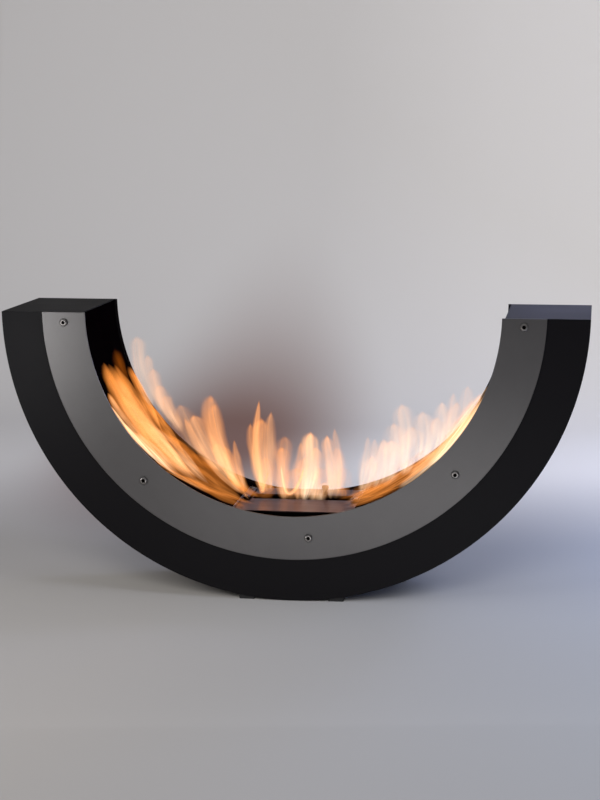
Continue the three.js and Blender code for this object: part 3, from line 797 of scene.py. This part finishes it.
class FIREPLACE_OT_fuel_tank(bpy.types.Operator):
    """Make the fuel box, the ceramic wool in it and the perforated screen over the wool"""

    bl_idname = "fireplace.fuel_tank"
    bl_label = "Fuel tank, wool and screen"

    def execute(self, context):
        self.tank()
        self.wool()
        self.screen()
        return {"FINISHED"}

    def tank(self):
        """Rounded rectangles one inside the other: out over the floor, round the bottom bend, up the wall,
        over the rim, down inside and in over the inner floor. The bend at share s is the quarter circle of
        radius r: in by r (1 - sin s) and up by r (1 - cos s)."""
        half_x, half_y, middle = plan("burner_tank")
        floor, rim = low("burner_tank").z, high("burner_tank").z
        wall, corner = burner().tank_wall, burner().tank_corner
        outer = 0.6 * corner  # the bottom bend is tighter than the upright corners
        inner = outer - wall
        bend = np.linspace(0, np.pi / 2, 7)
        outside = [(outer * (1 - math.sin(s)), floor + outer * (1 - math.cos(s))) for s in bend]
        inside = [(wall + inner * (1 - math.sin(s)), floor + wall + inner * (1 - math.cos(s))) for s in bend]
        rows = []
        for inset, z in [*outside, (0.0, rim), (wall, rim), *inside[::-1]]:
            outline = rounded_rectangle(half_x - inset, half_y - inset, corner - inset, middle)
            rows.append(lifted(outline, z))
        faces = ring_faces(len(rows), len(rows[0]), caps=True)
        piece("fuel_box", np.stack(rows), faces, "burner_stainless", "burner", "burner_tank")

    def wool(self):
        """A block whose top is lumpy: z = top - d (1 + sum of seeded sines in x and y) / 2."""
        a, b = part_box("ceramic_wool")
        noise = np.random.default_rng(SEED)
        cells = 60
        across_x, across_y = np.linspace(a.x, b.x, cells + 1), np.linspace(a.y, b.y, cells + 1)
        x, y = np.meshgrid(across_x, across_y, indexing="ij")
        waves = np.zeros_like(x)
        for size in (50 * MM, 23 * MM, 12 * MM, 7 * MM):
            turn, shift = noise.uniform(0, 2 * np.pi, 2)
            across = x * math.cos(turn) + y * math.sin(turn)
            beside = y * math.cos(turn) - x * math.sin(turn)
            waves += size * np.sin(2 * np.pi * across / size + shift) * np.sin(2 * np.pi * beside / size)
        lumps = 2.4 * MM
        top = b.z - lumps * (0.5 + 0.5 * waves / np.abs(waves).max())
        sides = [np.stack([x, y, z + 0 * x], axis=-1).reshape(-1, 3) for z in (top, a.z)]
        faces = sheet_faces(np.ones((cells, cells), bool))
        piece("fibre_block", np.concatenate(sides), faces, "ceramic_fibre", "burner", "ceramic_wool")

    def screen(self):
        """A flat sheet with windows on an even pitch: middle i is at start + (i + 1/2) (end - start) / n."""
        a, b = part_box("wool_screen")
        columns, rows, hole_x, hole_y = 9, 5, 12 * MM, 5 * MM
        lines = []
        for start, end, count, hole in ((a.x, b.x, columns, hole_x), (a.y, b.y, rows, hole_y)):
            middles = start + (np.arange(count) + 0.5) * (end - start) / count
            edges = np.stack([middles - hole / 2, middles + hole / 2], axis=-1).ravel()
            lines.append(np.concatenate([[start], edges, [end]]))
        x, y = np.meshgrid(*lines, indexing="ij")
        keep = np.ones((len(lines[0]) - 1, len(lines[1]) - 1), bool)
        keep[1::2, 1::2] = False
        sides = [np.stack([x, y, 0 * x + z], axis=-1).reshape(-1, 3) for z in (b.z, a.z)]
        faces = sheet_faces(keep)
        piece("perforated_screen", np.concatenate(sides), faces, "burner_stainless", "burner", "wool_screen")


class FIREPLACE_OT_lid_guides(bpy.types.Operator):
    """Make the folded strips that the lid runs in, and their rivets"""

    bl_idname = "fireplace.lid_guides"
    bl_label = "Lid guides and rivets"

    def execute(self, context):
        lid_low, lid_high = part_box("slide_lid")
        for side, towards in (("left", -1), ("right", 1)):
            node = f"{side}_lid_guide"
            a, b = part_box(node)
            outer, inner = (a.x, b.x) if towards < 0 else (b.x, a.x)
            side_gap, lip = 0.5 * MM, 1.5 * MM
            wall, under = (lid_low.x if towards < 0 else lid_high.x) + towards * side_gap, b.z - lip
            section = [(wall, a.z), (outer, a.z), (outer, b.z), (inner, b.z), (inner, under), (wall, under)]
            x, z = np.array(section).T
            rows = np.stack([np.stack([x, 0 * x + y, z], axis=-1) for y in (a.y, b.y)])
            faces = ring_faces(2, len(x), caps=True)
            piece(f"{side}_lid_runner", rows, faces, "burner_stainless", "burner", node, edge=0.35 * MM)
        for name in sorted(n for n in NODES if n.startswith("guide_rivet")):
            self.rivet(name)
        return {"FINISHED"}

    def rivet(self, name):
        """A snap head, r = R cos s and z = seat + h sin s, on a plain shank."""
        a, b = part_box(name)
        head, _, middle = plan(name)
        shank, rise = 2 * MM, 1.8 * MM  # radius of the shank and height of the head
        arc = np.linspace(np.pi / 2, 0, 9)
        radius = np.concatenate([head * np.cos(arc), [shank, shank, 0.0]])
        height = np.concatenate([b.z - rise + rise * np.sin(arc), [b.z - rise, a.z, a.z]])
        points = turned(radius[:, None], height, 36) + np.array([*middle, 0.0])
        piece(f"snap_{name}", points, ring_faces(*points.shape[:2]), "screw_steel", "burner", name)


class FIREPLACE_OT_slide_lid(bpy.types.Operator):
    """Make the sliding lid and its turned knob"""

    bl_idname = "fireplace.slide_lid"
    bl_label = "Sliding lid and knob"

    def execute(self, context):
        half_x, half_y, middle = plan("slide_lid")
        outline = rounded_rectangle(half_x, half_y, 1.5 * MM, middle)
        shape = plate(outline, low("slide_lid").z, high("slide_lid").z)
        piece("shutter_plate", *shape, "burner_stainless", "lid", "slide_lid", edge=0.3 * MM)
        self.knob()
        return {"FINISHED"}

    def knob(self):
        """A turned knob: a foot, a waist that follows a half sine, and a grip with knurls
        r(a) = R - d |sin(18 a)|, domed slightly on top."""
        grip, _, middle = plan("lid_knob")
        tail, top = low("lid_knob").z, high("lid_knob").z
        spigot, foot, knob_height, turns = 2.5 * MM, 0.82 * grip, 14 * MM, 144
        seat = top - knob_height
        s = np.linspace(0, 1, 9)
        waist = foot - 0.32 * grip * np.sin(np.pi * s) ** 0.8 * (1 - s) + 0.12 * grip * s
        below = [(0.0, tail), (spigot, tail), (spigot, seat), (foot, seat), (foot, seat + 1.4 * MM)]
        below += [*zip(waist, seat + (1.9 + 5.6 * s) * MM), (0.96 * grip, seat + 8.2 * MM)]
        knurled = [(grip, seat + 8.8 * MM), (grip, seat + 12.4 * MM)]
        above = [(0.94 * grip, seat + 13.2 * MM), (0.7 * grip, seat + 13.8 * MM), (0.0, top)]
        radius, height = np.array(below + knurled + above).T
        cut = np.zeros_like(radius)
        cut[len(below) : len(below) + len(knurled)] = 0.25 * MM
        knurl = np.abs(np.sin(18 * np.linspace(0, 2 * np.pi, turns, endpoint=False)))
        points = turned(radius[:, None] - cut[:, None] * knurl, height, turns) + np.array([*middle, 0.0])
        faces = ring_faces(*points.shape[:2])
        made = piece("shutter_knob", points, faces, "screw_steel", "lid", "lid_knob")
        made.data.materials[0] = finish(brushed_stainless)


# ------------------------------------------------------------------ flames
# Each tongue is listed: the angle of its root and of its tip from straight down (degrees, right is
# positive), how far its root and its tip stand off the hearth, its width and its depth behind the slot's
# middle (mm), its strength, how pointed it is (0.5 is round, 1.2 is sharp) and its tone (0 deep orange to 1
# pale yellow).
CENTRE_TONGUES = [
    (-11, -24.2, 4, 166, 19, 0, 0.75, 0.8, 0.50),
    (-10.5, -20.6, 8, 136, 44, 4, 0.60, 0.5, 0.52),
    (-9.5, -16.0, 10, 152, 30, 10, 0.44, 0.6, 0.58),
    (-12, -22.4, 8, 122, 24, -3, 0.45, 0.6, 0.45),
    (-10, -13, 8, 70, 44, 4, 0.36, 0.5, 0.46),
    (-5.5, -8.8, 0, 114, 40, 10, 0.34, 0.35, 0.50),
    (-5, -8.0, 0, 96, 42, -4, 0.55, 0.3, 0.50),
    (-1.5, -1.6, 0, 108, 22, 2, 0.42, 0.6, 0.50),
    (0.5, 4.3, 0, 126, 40, 0, 0.80, 0.35, 0.76),
    (3.0, 6.0, 0, 100, 34, -6, 0.50, 0.5, 0.66),
    (-1.0, 0.5, 0, 80, 34, 5, 0.45, 0.5, 0.50),
    (8, 11.0, 0, 116, 36, 10, 0.48, 0.5, 0.66),
    (10.5, 14.8, 6, 126, 22, 12, 0.34, 0.8, 0.60),
    (9.5, 13, 0, 92, 42, 6, 0.24, 0.5, 0.58),
    (-3, -3, 0, 60, 56, 4, 0.30, 0.5, 0.44),
    (5, 6, 0, 60, 56, 6, 0.26, 0.5, 0.46),
    (5.5, 6, -4, 34, 32, -2, 0.30, 0.4, 0.80),
    (11, 13, 0, 54, 46, 6, 0.22, 0.5, 0.48),
    (-12, -9, 0, 24, 30, -8, 0.35, 0.5, 0.30),
    (12, 13, 0, 22, 26, -8, 0.35, 0.6, 0.30),
]
# A loop of flame sags between two others: the same values, and then how far its middle hangs down (mm).
LOOPS = [
    ((-7.4, 0.2, 66, 66, 9, -6, 0.95, 0.5, 0.58), 52),
    ((-14.2, -10.0, 52, 52, 8, -8, 0.65, 0.5, 0.50), 42),
]
LEFT_RISERS = [
    (-18, -44.3, 2, 122, 42, -4, 0.60, 0.2, 0.48),
    (-18, -41.4, 2, 114, 38, 4, 0.45, 0.2, 0.50),
    (-17, -45, 0, 64, 22, -20, 0.40, 0.6, 0.55),
    (-25, -43, 18, 72, 46, 6, 0.54, 0.5, 0.58),
    (-20, -32, 10, 58, 30, 0, 0.45, 0.4, 0.66),
    (-17, -26.3, 2, 80, 20, 4, 0.45, 0.8, 0.48),
    (-16, -29, 0, 60, 32, 8, 0.45, 0.7, 0.46),
    (-32, -50, 26, 66, 50, 6, 0.28, 0.5, 0.58),
    (-42, -56, 34, 54, 30, 8, 0.26, 0.4, 0.62),
    (-54, -77.5, 26, 54, 38, -2, 0.24, 0.3, 0.76),
    (-50, -71, 34, 62, 26, 2, 0.22, 0.4, 0.70),
    (-46, -66, 36, 60, 32, 4, 0.26, 0.4, 0.62),
    (-44, -60, 36, 54, 32, 10, 0.28, 0.4, 0.60),
]
RIGHT_RISERS = [
    (17, 25.6, 2, 94, 24, -3, 0.22, 0.7, 0.80),
    (19, 28.5, 2, 84, 30, 5, 0.22, 0.7, 0.80),
    (21, 31, 2, 76, 44, 0, 0.24, 0.5, 0.84),
    (17, 25, 0, 58, 36, 3, 0.24, 0.6, 0.80),
    (30, 44.6, 2, 108, 48, 0, 0.24, 0.4, 0.84),
    (26, 38, 2, 90, 56, 6, 0.24, 0.5, 0.84),
    (24, 34, 2, 68, 52, -4, 0.26, 0.5, 0.84),
    (36, 49, 2, 72, 46, 4, 0.24, 0.5, 0.84),
    (31, 43, 2, 66, 54, -6, 0.24, 0.5, 0.84),
    (42, 55.4, 2, 56, 38, 4, 0.22, 0.6, 0.84),
    (38, 51, 2, 46, 50, -4, 0.22, 0.6, 0.84),
    (46, 60, 2, 48, 32, 6, 0.18, 0.7, 0.72),
    (44, 58, 2, 34, 40, 0, 0.20, 0.7, 0.72),
    (52, 64, 2, 32, 30, 4, 0.16, 0.7, 0.72),
]
# Flames that lick along the hearth lie flat on it. Their depth can change along the way: root angle, tip
# angle, root depth, tip depth, lift off the hearth at the middle, width, strength, point and tone.
LEFT_LICKS = [
    (-8, -62, 6, 10, 8, 190, 0.20, 0.3, 0.12),
    (-12, -58, -70, -60, 10, 130, 0.22, 0.3, 0.20),
    (-30, -72.0, -58, -40, 20, 150, 0.75, 0.15, 0.45),
    (-42, -73.0, -86, -70, 14, 80, 0.60, 0.15, 0.38),
    (-44, -71.0, -14, -2, 16, 84, 0.60, 0.15, 0.36),
    (-30, -64, -76, -48, 24, 100, 0.60, 0.3, 0.54),
    (-26, -54, -52, -20, 24, 84, 0.55, 0.3, 0.62),
    (-46, -68.0, 38, 98, 12, 62, 1.10, 0.15, 0.32),
    (-36, -56.0, 20, 100, 12, 56, 0.80, 0.15, 0.32),
    (-30, -48.5, -10, 50, 16, 50, 0.26, 0.3, 0.32),
    (-30, -44.5, 26, 74, 10, 56, 0.46, 0.15, 0.16),
    (-22, -35.5, 20, 92, 10, 56, 0.45, 0.15, 0.20),
    (-22, -36, -46, 6, 10, 36, 0.26, 0.5, 0.32),
    (-14, -27, -50, 112, 10, 20, 0.60, 0.5, 0.42),
    (-13, -24, -30, 60, 10, 24, 0.40, 0.5, 0.28),
    (-62, -75, 30, 26, 6, 104, 0.20, 0.15, 0.02),
    (-38, -61.5, -126, -140, 6, 20, 0.85, 0.3, 0.80),
    (-33, -65, -112, -118, 10, 44, 0.60, 0.15, 0.58),
    (-34, -56, -118, -130, 8, 34, 0.70, 0.4, 0.80),
    (-34, -52, -104, -104, 12, 54, 0.45, 0.4, 0.66),
    (-24, -42, -112, -132, 5, 20, 0.36, 0.4, 0.50),
    (-12, -38, -80, -116, 5, 44, 0.20, 0.3, 0.12),
    (-10, -34, -72, -106, 4, 40, 0.18, 0.3, 0.24),
    (-14, -41, -62, -131, 5, 8, 0.30, 0.6, 0.36),
    (-15, -38, -76, -138, 4, 6, 0.38, 0.6, 0.45),
    (-17, -35, -50, -112, 6, 8, 0.28, 0.6, 0.34),
    (-13, -31, -58, -118, 4, 6, 0.34, 0.6, 0.30),
]
RIGHT_LICKS = [
    (10, 50, 0, 20, 8, 170, 0.28, 0.3, 0.16),
    (28, 62, -70, -64, 12, 130, 0.50, 0.2, 0.40),
    (22, 40, -80, -50, 10, 44, 0.50, 0.3, 0.36),
    (21, 45, -20, 56, 12, 60, 0.75, 0.3, 0.36),
    (15, 30, -10, 84, 10, 40, 0.35, 0.3, 0.20),
    (13, 25, -60, 40, 10, 20, 0.55, 0.5, 0.42),
    (12, 22, -40, -60, 6, 16, 0.40, 0.5, 0.24),
    (34, 66, -108, -118, 10, 50, 0.70, 0.3, 0.90),
    (40, 70, -122, -138, 18, 44, 0.95, 0.3, 1.0),
    (28, 50, -92, -76, 12, 54, 0.45, 0.3, 0.40),
    (12, 31, -62, -104, 6, 12, 0.50, 0.5, 0.34),
    (14, 26, -84, -112, 5, 10, 0.45, 0.5, 0.22),
]
# Some more lie along the hearth in groups: how many, and then the first and the last tongue, between which
# the rest are spread evenly with a little seeded scatter.
LEFT_LAYERS = [
    (3, (-34, -69, 0, 14, 34, -96, 0.18, 0.4, 0.30), (-34, -62, 0, 24, 36, -40, 0.10, 0.4, 0.22)),
    (2, (-22, -56, 0, 14, 26, -100, 0.16, 0.5, 0.38), (-22, -46, 0, 26, 30, -20, 0.10, 0.5, 0.28)),
    (3, (-14, -34, 0, 8, 14, -110, 0.24, 0.7, 0.26), (-14, -26, 0, 22, 16, -10, 0.34, 0.7, 0.30)),
]
RIGHT_LAYERS = [
    (4, (42, 67, 0, 5, 24, -112, 0.30, 0.4, 0.92), (40, 60, 0, 10, 26, 10, 0.22, 0.5, 0.50)),
    (3, (30, 63, 0, 6, 22, -108, 0.30, 0.5, 0.80), (32, 54, 0, 12, 26, 60, 0.16, 0.6, 0.30)),
    (4, (16, 47, 0, 6, 20, -104, 0.20, 0.6, 0.26), (17, 36, 0, 12, 24, 70, 0.16, 0.6, 0.20)),
    (3, (13, 30, 0, 8, 16, -96, 0.34, 0.7, 0.30), (14, 24, 0, 14, 20, -10, 0.34, 0.7, 0.30)),
]
# How far each value of a tongue in such a group is scattered: a share of it, and for the angles degrees.
SCATTER = {"root": 2.0, "tip": 2.5, "rise": 0.3, "width": 0.25, "strength": 0.45}
ROWS, COLUMNS = 36, 15
HEARTH_GAP = 4  # no flame lies closer to the hearth than this (mm)
FRONT_PART = -45  # flames that lie in front of this y (mm) are pieces of their own


def polar(turn, off, y):
    """Points at an angle from straight down and a distance off the hearth."""
    reach = hearth_radius() - HEARTH_GAP * MM - off
    return np.stack([reach * np.sin(turn), y + 0 * turn, centre_height() - reach * np.cos(turn)], axis=-1)


def tongue_grid():
    """Shares along a tongue, 0 to 1 in rows, and across it, -1 to 1 in columns."""
    return np.linspace(0, 1, ROWS)[:, None], np.linspace(-1, 1, COLUMNS)[None, :]


def half_width(u, width, point, noise):
    """w = W u^0.45 (1 - u^2.6)^q, scaled to reach W and made uneven by two seeded waves."""
    shape = u**0.45 * (1 - u**2.6) ** point
    wave = noise.uniform(0, 2 * np.pi, 2)
    uneven = 1 + 0.10 * np.sin(2.6 * np.pi * u + wave[0]) + 0.05 * np.sin(5.8 * np.pi * u + wave[1])
    return (width / 2 * MM * flames().width) * shape / shape.max() * uneven


def burn(line, half, strength, tone, crisp, noise):
    """Thickness, warmth and flat coordinates of one sheet. With d, the distance from the middle that also
    grows over the last seventh towards the tip, a crisp one is (1 - d^4)^1.5 (0.6 + rim) thick, where the rim
    is a bell at d = 0.66. A soft one has no rim, its end is as long as it is wide and its streaks are broad.
    Both have a few seeded streaks and puffs and fade in over the root."""
    u, v = tongue_grid()
    distance = np.concatenate([[0], np.cumsum(np.linalg.norm(np.diff(line, axis=0), axis=1))])[:, None]
    shift, puff = noise.uniform(0, 2 * np.pi, 3), noise.uniform(0, 2 * np.pi)
    streaks = sum(np.sin(np.pi * k * v + shift[k - 2] + (k + 1) * u) / k for k in (2, 3, 4))
    puffs = 1 + (0.22 if crisp else 0.30) * np.sin(3.4 * np.pi * u + 1.2 * v + puff)
    end = 0.14 if crisp else min(0.5, float(half.max() / distance[-1, 0]))
    off = np.sqrt(v**2 + np.clip((u - 1 + end) / end, 0, 1) ** 2)
    edge = np.clip(1 - off**4, 0, 1) ** 1.5
    rim = 0.5 * np.exp(-(((off - 0.66) / 0.2) ** 2)) if crisp else 0.4
    ripple = 0.22 if crisp else 0.08
    fade = np.clip(distance / (14 * MM if crisp else 40 * MM), 0, 1) ** 1.2
    thickness = strength * fade * edge * puffs * (0.6 + rim) * np.clip(1 + ripple * streaks, 0.2, None)
    warmth = np.clip(tone * (1.15 - 0.4 * u) * (0.6 + 0.4 * edge) + 0.25 * ripple * streaks, 0, 1)
    start = noise.uniform(0, 1, 2)
    across, ahead = (1.0, 1.0) if crisp else (0.15, 2.2)
    flat = np.stack([across * half * v + start[0], ahead * distance + start[1] + 0 * v], axis=-1)
    return thickness, warmth, flat


def tongue_sheets(tongue, noise, sag=0.0):
    """Three sheets that cross along a tongue's middle line, 60 degrees apart, so that it looks the same from
    all sides. The angle and the distance off the hearth go evenly from root to tip, less sag sin(pi u). At
    share u along it and v across it a point is c(u) + w(u) (v s + k (v^2 - 0.5) n)."""
    root, tip, first, last, width, depth, strength, point, tone = tongue
    u, v = tongue_grid()
    sway = noise.uniform(-0.02, 0.02)
    turn = np.radians(root + (tip - root) * u[:, 0]) + sway * np.sin(1.7 * np.pi * u[:, 0]) * u[:, 0]
    off = first + (last - first) * u[:, 0] - sag * np.sin(np.pi * u[:, 0])
    line = polar(turn, off * flames().height * MM, slot_middle() + depth * MM)
    ahead = np.gradient(line, axis=0)
    ahead /= np.linalg.norm(ahead, axis=1, keepdims=True)
    back = np.array([0.0, 1.0, 0.0])
    beside = np.cross(ahead, back)
    half = half_width(u, width, point, noise)
    made = []
    for angle in np.radians([0, 60, 120]):
        across = beside * math.cos(angle) + back * math.sin(angle)
        out = back * math.cos(angle) - beside * math.sin(angle)
        bend = noise.uniform(-0.5, 0.5)
        lean = v[:, :, None] * across[:, None] + bend * (v[:, :, None] ** 2 - 0.5) * out[:, None]
        made.append((line[:, None] + half[:, :, None] * lean, *burn(line, half, strength, tone, True, noise)))
    return made


def lick_sheets(lick, noise):
    """Three sheets, one over the other, that lie along the hearth and so make a flat-bottomed tongue. In the
    unrolled hearth, with s along the arc and y across it, a point is c(u) + w(u) v n, where c bows to one
    side by a seeded share. Sheet k is sqrt(1 - k^2) as wide and stands off the hearth by k h sin(pi u). In
    front y runs out softly against the trim, y = f + e ln(1 + exp((y - f) / e)), and likewise at the back."""
    root, tip, first, last, lift, width, strength, point, tone = lick
    u, v = tongue_grid()
    front, back, ease = low("trim_plate").y + 2 * MM, high("rear_cover").y - 2 * MM, 2 * MM
    arc = hearth_radius() * np.radians(root + (tip - root) * u)
    depth = slot_middle() + (first + (last - first) * u**1.2) * MM
    line = np.concatenate([arc, depth], axis=1)
    ahead = np.gradient(line, axis=0)
    ahead /= np.linalg.norm(ahead, axis=1, keepdims=True)
    bow = noise.uniform(-0.03, 0.03) * np.sin(np.pi * u) * np.abs(arc[-1] - arc[0])
    half = half_width(u**1.5, width, point, noise)
    made = []
    for k in (0.15, 0.5, 0.85):
        across = bow + half * v * math.sqrt(1 - k**2)
        s, y = arc - ahead[:, 1:] * across, depth + ahead[:, :1] * across
        y = front + ease * np.logaddexp(0, (y - front) / ease)
        y = back - ease * np.logaddexp(0, (back - y) / ease)
        off = k * lift * MM * np.sin(np.pi * u) * flames().height
        points = polar(s / hearth_radius(), off + 0 * v, y)
        made.append((points, *burn(line, half, strength, tone, False, noise)))
    return made


def layered(group, noise):
    """The tongues of one group along the hearth."""
    count, start, end = group
    made = []
    for part in np.linspace(0, 1, count):
        values = np.array(start) * (1 - part) + np.array(end) * part
        root, tip, first, last, width, depth, strength, point, tone = values
        scatter = dict(zip(SCATTER, noise.uniform(-1, 1, len(SCATTER)) * list(SCATTER.values())))
        root, tip = root + scatter["root"], tip + scatter["tip"]
        last, width = last * (1 + scatter["rise"]), width * (1 + scatter["width"])
        made.append((root, tip, first, last, width, depth, strength * (1 + scatter["strength"]), point, tone))
    return made


def open_grid_faces(rows, columns):
    """Quads of a grid that is open on all sides."""
    index = np.arange(rows * columns).reshape(rows, columns)
    quads = np.stack([index[:-1, :-1], index[1:, :-1], index[1:, 1:], index[:-1, 1:]], axis=-1)
    return quads.reshape(-1, 4)


class FIREPLACE_OT_flames(bpy.types.Operator):
    """Make the flames: crossing glowing sheets that stand in the slot and lick up the hearth"""

    bl_idname = "fireplace.flames"
    bl_label = "Flames"

    def execute(self, context):
        noise = np.random.default_rng(SEED)
        centre = [tongue_sheets(tongue, noise) for tongue in CENTRE_TONGUES]
        centre += [tongue_sheets(loop, noise, sag) for loop, sag in LOOPS]
        self.group("flame_centre", centre)
        for side, risers, layers, licks in (
            ("left", LEFT_RISERS, LEFT_LAYERS, LEFT_LICKS),
            ("right", RIGHT_RISERS, RIGHT_LAYERS, RIGHT_LICKS),
        ):
            lying = [tongue_sheets(tongue, noise) for group in layers for tongue in layered(group, noise)]
            lying += [lick_sheets(lick, noise) for lick in licks]
            parts = {"front": [], "low": [], "high": [tongue_sheets(tongue, noise) for tongue in risers]}
            for sheets in lying:
                middle_y = np.mean([sheet[0][..., 1] for sheet in sheets])
                parts["front" if middle_y < FRONT_PART * MM else "low"].append(sheets)
            for part in ("high", "low", "front"):
                self.group(f"flame_{side}_{part}", parts[part])
        return {"FINISHED"}

    def group(self, name, tongues):
        """One mesh of all the sheets of some tongues."""
        sheets = [sheet for tongue in tongues for sheet in tongue]
        rows, columns = sheets[0][1].shape
        points = np.concatenate([sheet[0].reshape(-1, 3) for sheet in sheets])
        quads = open_grid_faces(rows, columns)
        faces = np.concatenate([quads + i * rows * columns for i in range(len(sheets))])
        made = mesh_object(name, points, faces.tolist(), finish(alcohol_flame), closed=False)
        mesh = made.data
        for key, place in (("thickness", 1), ("warmth", 2)):
            values = np.concatenate([sheet[place].ravel() for sheet in sheets])
            mesh.attributes.new(key, "FLOAT", "POINT").data.foreach_set("value", values.astype(np.float32))
        along = np.concatenate([sheet[3].reshape(-1, 2) for sheet in sheets])
        corners = along[faces.ravel()].astype(np.float32).ravel()
        mesh.uv_layers.new(name="along").data.foreach_set("uv", corners)
        made.visible_shadow = False
        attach(made, "burner")
        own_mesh(made)


# ------------------------------------------------------------------ studio
class FIREPLACE_OT_studio(bpy.types.Operator):
    """Make the floor with its curved backdrop, the soft lights and the camera"""

    bl_idname = "fireplace.studio"
    bl_label = "Studio"

    def execute(self, context):
        scene = context.scene
        scene.view_settings.view_transform = "Standard"
        scene.cycles.transparent_max_bounces = 96
        self.floor()
        self.lights(scene)
        self.camera(scene)
        return {"FINISHED"}

    def floor(self):
        """A profile in y and z carried along x: level floor, a quarter circle of radius 1.4 m, a wall."""
        bend, wall_y, height, half_width = 1.4, 3.2, 5.0, 7.0
        arc = np.linspace(0, np.pi / 2, 33)
        y = np.concatenate([[-7.0], wall_y - bend + bend * np.sin(arc), [wall_y]])
        z = np.concatenate([[0.0], bend - bend * np.cos(arc), [height]])
        rows = [np.column_stack([np.full(len(y), x), y, z]) for x in (-half_width, half_width)]
        faces = open_grid_faces(len(y), 2)[:, ::-1].tolist()
        points = np.stack(rows, axis=1)
        mesh_object("studio_floor", points, faces, finish(matt_studio_paint), closed=False)

    def lights(self, scene):
        """Area lamps that face the fireplace: place and size in metres, power, colour, and whether matt and
        glossy surfaces see them. The gloss cards only draw the metal's long soft reflections."""
        both, gloss, fill = (True, True), (False, True), (True, False)
        lamps = {
            "left_soft_light": ((-1.15, -1.3, 0.8), (0.5, 0.5), stage().key, 0xFFFAF2, fill),
            "left_gloss_card": ((-0.62, -0.6, 0.40), (0.12, 0.25), stage().card, 0xFFFFFF, gloss),
            "low_gloss_card": ((0.14, -0.85, 0.05), (0.95, 0.12), stage().low_card, 0xFFFFFF, gloss),
            "right_soft_light": ((2.2, -1.5, 1.9), (0.9, 0.9), stage().rim, 0xDDE6FF, fill),
            "front_soft_light": ((0.2, -4.4, 2.1), (2.0, 2.0), stage().front, 0xFFFDF8, fill),
            "top_soft_light": ((0.0, -1.6, 3.6), (3.0, 3.0), stage().top, 0xFFFFFF, both),
            "right_gloss_card": ((0.42, 1.5, 0.66), (0.3, 0.3), stage().top_card, 0xBCC4FF, gloss),
            "back_soft_light": ((1.3, 1.5, 1.2), (0.6, 0.6), stage().back, 0xC9D6FF, both),
            "blue_soft_light": ((1.0, 0.35, 0.35), (0.3, 0.3), stage().blue, 0x9CB8FF, fill),
        }
        for name, (place, size, power, code, seen) in lamps.items():
            lamp = bpy.data.lights.new(name, "AREA")
            lamp.shape, lamp.energy = "RECTANGLE", power
            lamp.size, lamp.size_y = size
            lamp.color = linear(code)[:3]
            made = bpy.data.objects.new(name, lamp)
            made.location = place
            made.visible_diffuse, made.visible_glossy = seen
            made.visible_camera = False
            towards = np.array([0, 0, 0.25]) - np.array(place)
            pitch = math.acos(-towards[2] / np.linalg.norm(towards))
            made.rotation_euler = (pitch, 0, math.atan2(towards[0], -towards[1]) + math.pi)
            scene.collection.objects.link(made)
        world = scene.world or bpy.data.worlds.new("room")
        scene.world = world
        world.use_nodes = True
        sky = world.node_tree.nodes["Background"]
        sky.inputs["Color"].default_value = linear(0xE9EAF0)
        sky.inputs["Strength"].default_value = stage().sky

    def camera(self, scene):
        """The photograph's view: 3.6 m in front, to the right of the middle, a little above, looking down."""
        frame_height, focal = 800, 2121
        lens = bpy.data.cameras.new("camera")
        lens.sensor_width = 36.0
        lens.lens = focal * lens.sensor_width / frame_height
        made = bpy.data.objects.new("camera", lens)
        made.location = (0.5095, -3.6287, 0.8548)
        made.rotation_euler = (math.radians(90 - 8.15), 0.0, math.radians(8.01))
        scene.collection.objects.link(made)
        scene.camera = made


OPERATORS = [
    FIREPLACE_OT_studio,
    FIREPLACE_OT_black_sheets,
    FIREPLACE_OT_trim,
    FIREPLACE_OT_rolled_skins,
    FIREPLACE_OT_arm_caps,
    FIREPLACE_OT_button_screws,
    FIREPLACE_OT_hidden_fittings,
    FIREPLACE_OT_deck,
    FIREPLACE_OT_fuel_tank,
    FIREPLACE_OT_lid_guides,
    FIREPLACE_OT_slide_lid,
    FIREPLACE_OT_flames,
]


class FIREPLACE_PT_panel(bpy.types.Panel):
    """Lists the sizes, colours and pieces."""

    bl_idname = "FIREPLACE_PT_panel"
    bl_label = "Half-ring fireplace"
    bl_space_type = "VIEW_3D"
    bl_region_type = "UI"
    bl_category = "Fireplace"

    def draw(self, context):
        for key, group in GROUPS.items():
            box = self.layout.box()
            box.label(text=key.replace("_", " "))
            for name in group.__annotations__:
                box.prop(getattr(context.scene, key), name)
        for operator in OPERATORS:
            self.layout.operator(operator.bl_idname)


def register():
    for group in GROUPS.values():
        bpy.utils.register_class(group)
    for operator in OPERATORS:
        bpy.utils.register_class(operator)
    bpy.utils.register_class(FIREPLACE_PT_panel)
    for key, group in GROUPS.items():
        setattr(bpy.types.Scene, key, bpy.props.PointerProperty(type=group))


def unregister():
    for key in GROUPS:
        delattr(bpy.types.Scene, key)
    for made in [FIREPLACE_PT_panel, *OPERATORS[::-1], *list(GROUPS.values())[::-1]]:
        bpy.utils.unregister_class(made)


def main():
    register()
    for operator in OPERATORS:
        section, name = operator.bl_idname.split(".")
        getattr(getattr(bpy.ops, section), name)()


if __name__ == "__main__":
    main()
